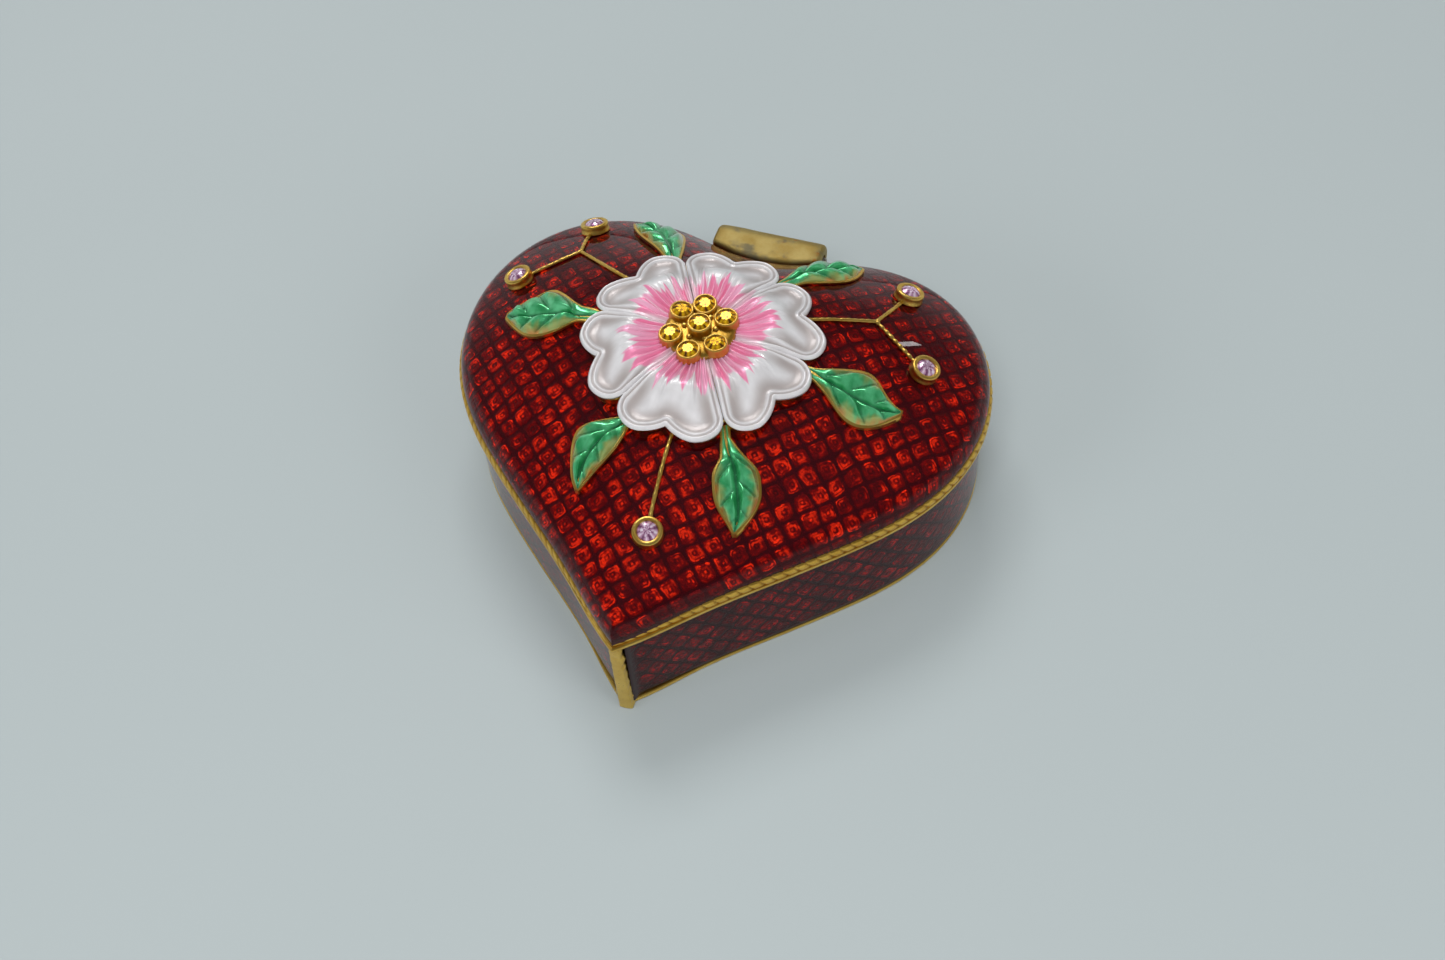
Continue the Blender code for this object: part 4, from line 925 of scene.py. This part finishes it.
NU, NV = 131, 110
for index in range(6):
    u = np.sin(np.linspace(-np.pi / 2, np.pi / 2, NU)) * 0.35 + np.linspace(-1, 1, NU) * 0.65
    v = np.linspace(0, 1, NV) ** 0.9
    U, V = np.meshgrid(u, v)
    X, Y, R, A = petal_plan(U, V, index)
    fine = np.linspace(-1, 1, 500)
    ox, oy, _, _ = petal_plan(fine, np.ones(500), index)
    side_v = np.linspace(0.1, 1, 150)
    lx, ly, _, _ = petal_plan(np.full(150, -1.0), side_v, index)
    rx, ry, _, _ = petal_plan(np.full(150, 1.0), side_v, index)
    line = np.stack([np.concatenate([ox, lx, rx]), np.concatenate([oy, ly, ry])], -1)
    d = nearest(X, Y, line)
    outward = smooth(R, 5.2, 9.5)
    bead = 0.30 * np.exp(-(((d - 0.32) / 0.21) ** 2))
    bead -= 0.12 * np.exp(-(((d - 0.68) / 0.12) ** 2))
    bead += 0.12 * np.exp(-(((d - 0.90) / 0.13) ** 2))
    roll = -0.22 * (1 - np.clip(d / 0.20, 0, 1)) ** 2
    dish = -0.70 * (1 - np.exp(-np.maximum(d - 1.0, 0) / 0.8)) * smooth(R, 9.5, 14.5)
    bulge = 1.75 * np.exp(-(((R - 10.2) / 2.7) ** 2)) * (1 - np.abs(U) ** 2.4)
    flutes = 10
    wave = np.cos(2 * np.pi * flutes * (U + 1) / 2 + 0.6 * np.sin(3 * U + index))
    reach = 11.4 + 1.6 * np.sin(7.3 * U + 1.9 * index) + 0.9 * np.sin(17.0 * U + index)
    flute = 0.24 * (np.abs(wave) ** 0.8 * np.sign(wave)) * (1 - smooth(R, reach - 3.2, reach)) * smooth(R, 3.0, 4.6)
    side_line = -0.22 * np.exp(-((d / 0.28) ** 2)) * (1 - outward)
    wave_edge = 0.16 * np.sin(3.1 * U + 1.3 * index) * smooth(R, 11, 16)
    base = petal_base(X, Y)
    Z = base + (bead * outward + roll) + dish + bulge + flute + side_line + wave_edge
    top = np.stack([X, Y, Z], -1)
    low = np.stack([X, Y, base - 0.30 - 1.10 * smooth(d, 0.3, 1.5)], -1)
    uv = np.stack([np.degrees(A), R], -1)
    second = np.stack([d, U], -1)
    # painted shade: darker in the groove inside the rim bead, across the dish near the rim and along the side lines
    shade = np.clip(0.70 * np.exp(-(((d - 0.66) / 0.15) ** 2)) * outward + 0.70 * smooth(d, 0.95, 1.5) * (1 - smooth(d, 1.7, 3.6)) * smooth(R, 8.5, 12.5), 0, 1)
    shade = np.clip(shade + 0.35 * np.exp(-((d / 0.18) ** 2)) * (1 - outward), 0, 1)
    on(slab(f"petal_enamel_{index + 1}", top, low, PEARL, uv=uv, second=second, groove=shade), "lid", "pearl_enamel", f"petal_{index + 1}")


def flower_outline(a):
    """Outer radius of the petals at these angles about the flower's centre."""
    deg = np.degrees(a)
    out = np.zeros_like(deg)
    for index in range(6):
        first, last = PETAL_EDGES[index], PETAL_EDGES[index + 1]
        for turn in (-360, 0, 360):
            inside = (deg + turn <= first) & (deg + turn >= last)
            u = np.clip((first + last - 2 * (deg + turn)) / (first - last), -1, 1)
            out = np.where(inside, petal_edge(u, index), out)
    return out


a = np.linspace(-np.pi, np.pi, 960, endpoint=False)
edge = flower_outline(a)
kernel = np.ones(7) / 7
edge = np.convolve(np.concatenate([edge[-3:], edge, edge[:3]]), kernel, "valid")
rows = []
for share, grow, level in ((0.3, 0, 0), (0.6, 0, 0), (1, -1.1, 0), (1, -0.75, 0.12), (1, -0.6, 0.4), (1, -0.45, 0.75), (1, -0.30, 0.95), (1, -0.5, 1.0), (1, -1.3, 0.6), (0.6, 0, 1), (0.3, 0, 1)):
    r = (edge + grow) * share
    x, y = FLOWER[0] + r * np.cos(a), FLOWER[1] + r * np.sin(a)
    low, high = dome_z(x, y) - 0.05, petal_base(x, y) - (0.66 if share == 1 else 1.42)
    rows.append(np.stack([x, y, low + (high - low) * level], -1))
on(loft("flower_backing", rows, GOLD, sharp=60), "lid", "gold_plate", "flower_casting")

# the centre: a low boss with seven rub-over settings and small gold grains between them
plate = 30.5
centre = [(0.0, 4.9), (0.45, 4.9), (0.75, 4.7), (0.95, 4.2), (1.05, 3.0)]
# the boss uses a darker copy of the gold: painted shade in the crevices between the settings
on(lathe("centre_boss", [(r, z) for z, r in centre], gold("shaded_gold", (0.62, 0.37, 0.07), 0.32), upright(FLOWER[0], FLOWER[1], plate), 72), "lid", "gold_plate", "flower_centre")
seats = [(0.0, -0.15, 2.45, (0.02, -0.02))]
seats += [
    (r * math.cos(math.radians(t)), r * math.sin(math.radians(t)), h, lean)
    for t, r, h, lean in (
        (151, 3.75, 1.75, (0.10, 0.07)), (97, 3.80, 1.80, (0.03, -0.10)), (34, 3.72, 1.85, (-0.03, 0.02)),
        (-39, 3.95, 1.75, (-0.06, 0.05)), (-92, 4.35, 1.65, (-0.05, -0.02)), (-145, 4.0, 1.75, (-0.09, -0.05)),
    )
]


def setting(name, r, h, mat, matrix, wall=0.40, segments=56):
    """A cup with a rolled rim round a stone of radius r."""
    o = r + wall
    profile = [(o + 0.10, 0), (o + 0.12, 0.12), (o + 0.04, 0.3), (o - 0.02, h * 0.62), (o + 0.02, h - 0.28), (o - 0.03, h - 0.10), (o - 0.14, h), (r + 0.07, h - 0.01), (r - 0.03, h - 0.09), (r - 0.06, h - 0.22), (r - 0.10, h - 0.5)]
    return lathe(name, profile, mat, matrix, segments)


def stone(name, r, mat, matrix):
    """A round brilliant: octagonal table, star, kite and girdle facets, and a pavilion below."""
    bm = bmesh.new()
    for count, share, z, turn in ((8, 0.56, 0.40, 0), (8, 0.80, 0.275, 0.5), (16, 1.0, 0.07, 0), (16, 1.0, 0.0, 0)):
        for i in range(count):
            t = 2 * math.pi * (i + turn) / count
            bm.verts.new((r * share * math.cos(t) * 0.001, r * share * math.sin(t) * 0.001, z * r * 0.001))
    bm.verts.new((0, 0, -0.5 * r * 0.001))
    bmesh.ops.convex_hull(bm, input=bm.verts)
    bmesh.ops.recalc_face_normals(bm, faces=bm.faces)
    bmesh.ops.dissolve_limit(bm, angle_limit=math.radians(1.0), verts=bm.verts, edges=bm.edges)
    me = bpy.data.meshes.new(name)
    bm.to_mesh(me)
    bm.free()
    me.materials.append(mat)
    obj = bpy.data.objects.new(name, me)
    bpy.context.scene.collection.objects.link(obj)
    obj.matrix_world = matrix
    return obj


def tilted(x, y, z, normal, spin=0.0):
    turn = Vector((0, 0, 1)).rotation_difference(normal).to_matrix().to_4x4()
    return Matrix.Translation(Vector(place((x, y, z)))) @ turn @ Matrix.Rotation(spin, 4, "Z")


for k, (x, y, h, lean) in enumerate(seats):
    x, y = x + FLOWER[0], y + FLOWER[1]
    lean = Vector((*lean, 1)).normalized()
    cup = tilted(x, y, plate + 0.35, lean)
    on(setting(f"amber_setting_{k + 1}", 1.34, h - 0.35, GOLD, cup, wall=0.31), "lid", "gold_plate")
    gem = tilted(x, y, plate + 0.35, lean, 0.37 * k)
    on(stone(f"amber_gem_{k + 1}", 1.36, AMBER, gem @ Matrix.Translation((0, 0, (h - 0.35 - 0.34) * 0.001))), "lid", "amber_crystal", f"amber_stone_{k + 1}")
for k in range(12):
    t = math.radians(32 + 30 * k + (4 if k % 2 else -3))
    r = 2.15 if k % 2 else 4.9
    grain = [(0.12, -0.2), (0.34, -0.1), (0.42, 0.1), (0.38, 0.3), (0.24, 0.43), (0.1, 0.47)]
    m = upright(FLOWER[0] + r * math.cos(t), FLOWER[1] + r * math.sin(t), plate + (1.0 if k % 2 else 0.62))
    on(lathe(f"centre_grain_{k + 1}", grain, GOLD, m, 20), "lid", "gold_plate")

# ------------------------------------------------------------------ leaves
KEYS = (0, 0.1, 0.22, 0.35, 0.5, 0.65, 0.8, 0.92, 1.0)
# base, tip, reach to one side, reach to the other, midrib's offset, lean
LEAVES = (
    ((-16.1, -1.4), (-30.2, -1.7), (0.8, 1.2, 1.55, 2.7, 4.0, 4.28, 3.0, 1.75, 0.5), (0.6, 0.7, 0.85, 2.15, 3.1, 3.2, 2.45, 1.2, 0.1), (0, 0.05, 0.1, -0.1, 0, 0.2, 0.35, 0.2, -0.1), -0.5),
    ((-9.1, 10.6), (-18.6, 20.6), (0.8, 1.5, 2.6, 3.7, 4.6, 4.8, 3.9, 2.2, 0.3), (0.4, 0.3, 0.3, 0.4, 0.6, 0.8, 0.8, 0.6, 0.2), (0, -0.5, -0.9, -1.35, -1.5, -1.5, -1.1, -0.6, 0), 0.6),
    ((6.4, 11.0), (15.6, 20.6), (0.5, 0.95, 0.95, 1.4, 2.05, 2.3, 2.0, 1.15, 0.1), (0.4, 0.9, 1.8, 2.8, 3.4, 3.3, 2.6, 1.4, 0.2), (0, 0.2, 0.45, 0.6, 0.6, 0.5, 0.35, 0.15, 0), 1.2),
    ((13.6, -2.8), (27.5, -3.9), (0.5, 0.95, 1.7, 2.95, 4.3, 4.53, 3.7, 2.1, 0.4), (0.25, 0.35, 1.0, 1.95, 2.8, 2.85, 1.4, 0.3, 0.1), (0, -0.25, -0.6, -1.0, -1.25, -1.38, -1.3, -0.85, -0.1), 0.4),
    ((6.9, -16.1), (11.4, -27.3), (0.5, 0.65, 0.8, 1.7, 2.15, 2.1, 1.4, 0.55, 0.1), (0.5, 1.2, 2.15, 3.45, 3.98, 3.75, 2.65, 1.3, 0.1), (0, 0.1, 0.35, 0.75, 0.82, 0.85, 0.75, 0.4, 0), 0.3),
    ((-6.5, -16.7), (-10.4, -26.7), (0.9, 2.4, 3.85, 4.85, 4.98, 4.3, 2.95, 1.5, 0.1), (0.5, 0.65, 0.8, 0.92, 0.85, 0.6, 0.35, 0.22, 0.1), (0, -0.4, -0.95, -1.35, -1.6, -1.5, -1.2, -0.6, 0), -0.4),
)
LEAF_START = -0.14


def leaf_plan(base, tip, low, high, rib, T, W, grow=0.0):
    """Plan position of a point t along the leaf and w across it."""
    base, tip = np.array(base), np.array(tip)
    along = tip - base
    length = np.linalg.norm(along)
    along = along / length
    across = np.array([-along[1], along[0]])
    t = np.clip(T, 0, 1)
    f_low, f_high, f_rib = (natural_spline(np.array(KEYS), np.array(v, float)) for v in (low, high, rib))
    left, right, middle = np.maximum(f_low(t), 0.08), np.maximum(f_high(t), 0.08), f_rib(t)
    wave = 1 + 0.035 * np.sin(9.5 * t + length)
    reach = np.where(W > 0, right * wave - middle, left * wave + middle)
    half = np.maximum(reach, 0.06)
    offset = middle + W * (half + grow)
    run = T * length + grow * smooth(T, 0.8, 1.0)
    return base[0] + along[0] * run + across[0] * offset, base[1] + along[1] * run + across[1] * offset, half, length


for index, (base, tip, low_side, high_side, rib_line, lean) in enumerate(LEAVES):
    t, w = np.linspace(LEAF_START, 1, 150), np.linspace(-1, 1, 81)
    T, W = np.meshgrid(t, w, indexing="ij")
    X, Y, half, length = leaf_plan(base, tip, low_side, high_side, rib_line, T, W)
    aw = np.abs(W)
    q = (T * length - 0.9 * aw * half + np.where(W > 0, 1.1, 0.0) + 0.9 * index) / 3.5
    fold_v = np.abs(np.sin(np.pi * q)) ** 0.7
    fade = smooth(T, 0.12, 0.32) * (1 - smooth(T, 0.90, 1.0))
    puff = 0.80 * fold_v * smooth(aw, 0.02, 0.30) * (1 - smooth(aw, 0.70, 1.0)) * fade * np.minimum(1, half / 2.4)
    rib = -0.34 * np.exp(-((W * half / 0.26) ** 2)) * (1 - smooth(T, 0.9, 1.0)) * np.minimum(1, half / 0.8)
    cup = 0.42 * (1 - aw**2) + 0.20 * lean * W
    edge = -0.20 * smooth(aw, 0.88, 1.0)
    lift = 0.62 + 0.25 * np.sin(np.pi * np.clip(T, 0, 1)) + 0.30 * smooth(T, 0.75, 1.0)
    ground = dome_z(X, Y)
    Z = ground + lift + cup * np.minimum(1, half / 1.8) + puff + rib + edge
    top = np.stack([X, Y, Z], -1)
    low = np.stack([X, Y, ground + 0.25 + 0.20 * np.maximum(lean * W, 0)], -1)
    # painted shade: darker along the midrib and in the creases between the puffed lobes
    crease = (1 - fold_v) ** 2.0 * smooth(aw, 0.03, 0.25) * (1 - smooth(aw, 0.8, 1.0)) * fade
    hollow = np.clip(0.95 * np.exp(-((W * half / 0.20) ** 2)) * (T > 0) + 0.85 * crease, 0, 1)
    uv = np.stack([T * length, W], -1)
    on(slab(f"leaf_enamel_{index + 1}", top, low, GREEN, uv=uv, groove=hollow, sharp=75), "lid", "green_enamel", f"leaf_{index + 1}")
    t, w = np.linspace(LEAF_START, 1, 120), np.sin(np.linspace(-1, 1, 41) * np.pi / 2)
    T, W = np.meshgrid(t, w, indexing="ij")
    X, Y, half, length = leaf_plan(base, tip, low_side, high_side, rib_line, T, W, 0.22)
    ground = dome_z(X, Y)
    rim = smooth(np.abs(W), 0.9, 1.0)
    lift = 0.58 + 0.20 * np.sin(np.pi * np.clip(T, 0, 1)) + 0.30 * smooth(T, 0.75, 1.0) + 0.20 * lean * W * np.minimum(1, half / 1.8)
    top = np.stack([X, Y, ground + lift - 0.10 * rim], -1)
    low = np.stack([X, Y, ground - 0.05 + 0.12 * rim + 0.15 * np.maximum(lean * W, 0)], -1)
    on(slab(f"leaf_backing_{index + 1}", top, low, GOLD, sharp=60), "lid", "gold_plate")

# ------------------------------------------------------------------ sprigs
SPRIGS = {
    "sprig_left": ([((-14.0, 6.1), (-16.9, 7.7), (-20.4, 9.8), (-24.1, 12.2)), ((-24.1, 12.2), (-24.5, 15.4), (-24.4, 18.6)), ((-24.1, 12.2), (-27.8, 9.0), (-31.4, 6.2))], ((-24.4, 18.6), (-31.4, 6.2))),
    "sprig_right": ([((11.0, 4.9), (14.5, 6.6), (18.0, 8.2), (20.6, 9.4)), ((20.6, 9.4), (22.1, 13.4), (23.2, 17.2)), ((20.6, 9.4), (24.6, 6.7), (28.6, 4.2))], ((23.2, 17.2), (28.6, 4.2))),
    "sprig_front": ([((0.0, -16.5), (0.0, -20.0), (0.2, -24.0), (0.5, -28.0), (0.9, -31.0))], ((0.9, -31.0),)),
}
gem_number = 0
for name, (wires, ends) in SPRIGS.items():
    for k, wire in enumerate(wires):
        p = through(wire, 90)
        z = dome_z(p[:, 0], p[:, 1]) + 0.22
        line = np.column_stack([p, z])
        s = np.concatenate([[0], np.cumsum(np.linalg.norm(np.diff(line, axis=0), axis=1))])
        twist = 0.055 if (name == "sprig_right" and k == 2) else 0.018
        radius = 0.275 + twist * np.sin(2 * np.pi * s / 0.95) + 0.02 * np.sin(2.1 * s + k)
        obj = tube(f"{name}_wire_{k + 1}", line, radius, GOLD)
        on(obj, "lid", "gold_plate", *([name] if k == 0 else []))
    for x, y in ends:
        gem_number += 1
        n = dome_normal(x, y)
        m = tilted(x, y, float(dome_z(x, y)), n, 0.5 * gem_number)
        on(setting(f"pink_setting_{gem_number}", 1.43, 1.35, GOLD, m, wall=0.60), "lid", "gold_plate")
        on(stone(f"pink_gem_{gem_number}", 1.45, PINK, m @ Matrix.Translation((0, 0, 0.00100))), "lid", "pink_crystal", f"pink_stone_{gem_number}")

# ------------------------------------------------------------------ room
g = Nodes("pale_floor")
where = g.coords()
g.set(Base_Color=g.mix(g.noise(where, 6.0, 2, 0.5), (0.36, 0.405, 0.41), (0.40, 0.445, 0.45)), Roughness=0.75, Metallic=0.0)
bpy.ops.mesh.primitive_plane_add(size=6.0, location=(0, 0, -0.00005))
floor = bpy.context.object
floor.name = "floor"
floor.data.materials.append(g.mat)

world = bpy.data.worlds.new("studio")
bpy.context.scene.world = world
world.use_nodes = True
tree = world.node_tree
tree.nodes.clear()
w_out = tree.nodes.new("ShaderNodeOutputWorld")
w_bg = tree.nodes.new("ShaderNodeBackground")
w_geo = tree.nodes.new("ShaderNodeTexCoord")
w_sep = tree.nodes.new("ShaderNodeSeparateXYZ")
w_ramp = tree.nodes.new("ShaderNodeValToRGB")
for spot, level in ((0.0, 0.78), (0.20, 0.60), (0.42, 0.20), (0.62, 0.13), (0.84, 0.20)):
    if spot == 0.0:
        stop = w_ramp.color_ramp.elements[0]
        stop.position = 0.0
    else:
        stop = w_ramp.color_ramp.elements.new(spot)
    stop.color = (level * 0.95, level, level * 1.02, 1)
w_ramp.color_ramp.elements[-1].position = 1.0
w_ramp.color_ramp.elements[-1].color = (0.25, 0.26, 0.27, 1)
tree.links.new(w_geo.outputs["Generated"], w_sep.inputs[0])
tree.links.new(w_sep.outputs[2], w_ramp.inputs[0])
tree.links.new(w_ramp.outputs[0], w_bg.inputs["Color"])
w_bg.inputs["Strength"].default_value = 1.0
tree.links.new(w_bg.outputs[0], w_out.inputs[0])


def area(name, where, size, power, target=(0, 0, 0.015), colour=(1, 1, 1)):
    data = bpy.data.lights.new(name, "AREA")
    data.shape = "RECTANGLE"
    data.size, data.size_y = size
    data.energy = power
    data.color = colour
    obj = bpy.data.objects.new(name, data)
    bpy.context.scene.collection.objects.link(obj)
    obj.location = where
    obj.rotation_euler = (Vector(target) - Vector(where)).to_track_quat("-Z", "Y").to_euler()
    return obj


area("key", (-0.22, 0.40, 0.66), (0.38, 0.30), 2.5)
area("overhead", (0.10, -0.50, 0.86), (0.44, 0.36), 6.0).visible_glossy = False
area("glint", (0.28, 0.70, 0.50), (0.02, 0.06), 0.05)
area("fill", (0.62, -0.30, 0.42), (0.45, 0.4), 1.5).visible_glossy = False
area("front", (-0.45, -0.55, 0.40), (0.35, 0.25), 1.4).visible_glossy = False
bpy.context.scene.view_settings.view_transform = "Standard"

camera_data = bpy.data.cameras.new("camera")
camera_data.sensor_width = 36.0
camera_data.lens = 45.02
camera_data.clip_start = 0.01
camera = bpy.data.objects.new("camera", camera_data)
bpy.context.scene.collection.objects.link(camera)
view = Vector((-0.210652, 0.535673, -0.817729))
right = Vector((0.952331, 0.301270, -0.047972))
down = Vector((0.220660, -0.788854, -0.573601))
turn = Matrix((right, -down, -view)).transposed()
camera.matrix_world = Matrix.Translation(Vector(place((57.652, -147.506, 218.153)))) @ turn.to_4x4()
bpy.context.scene.camera = camera
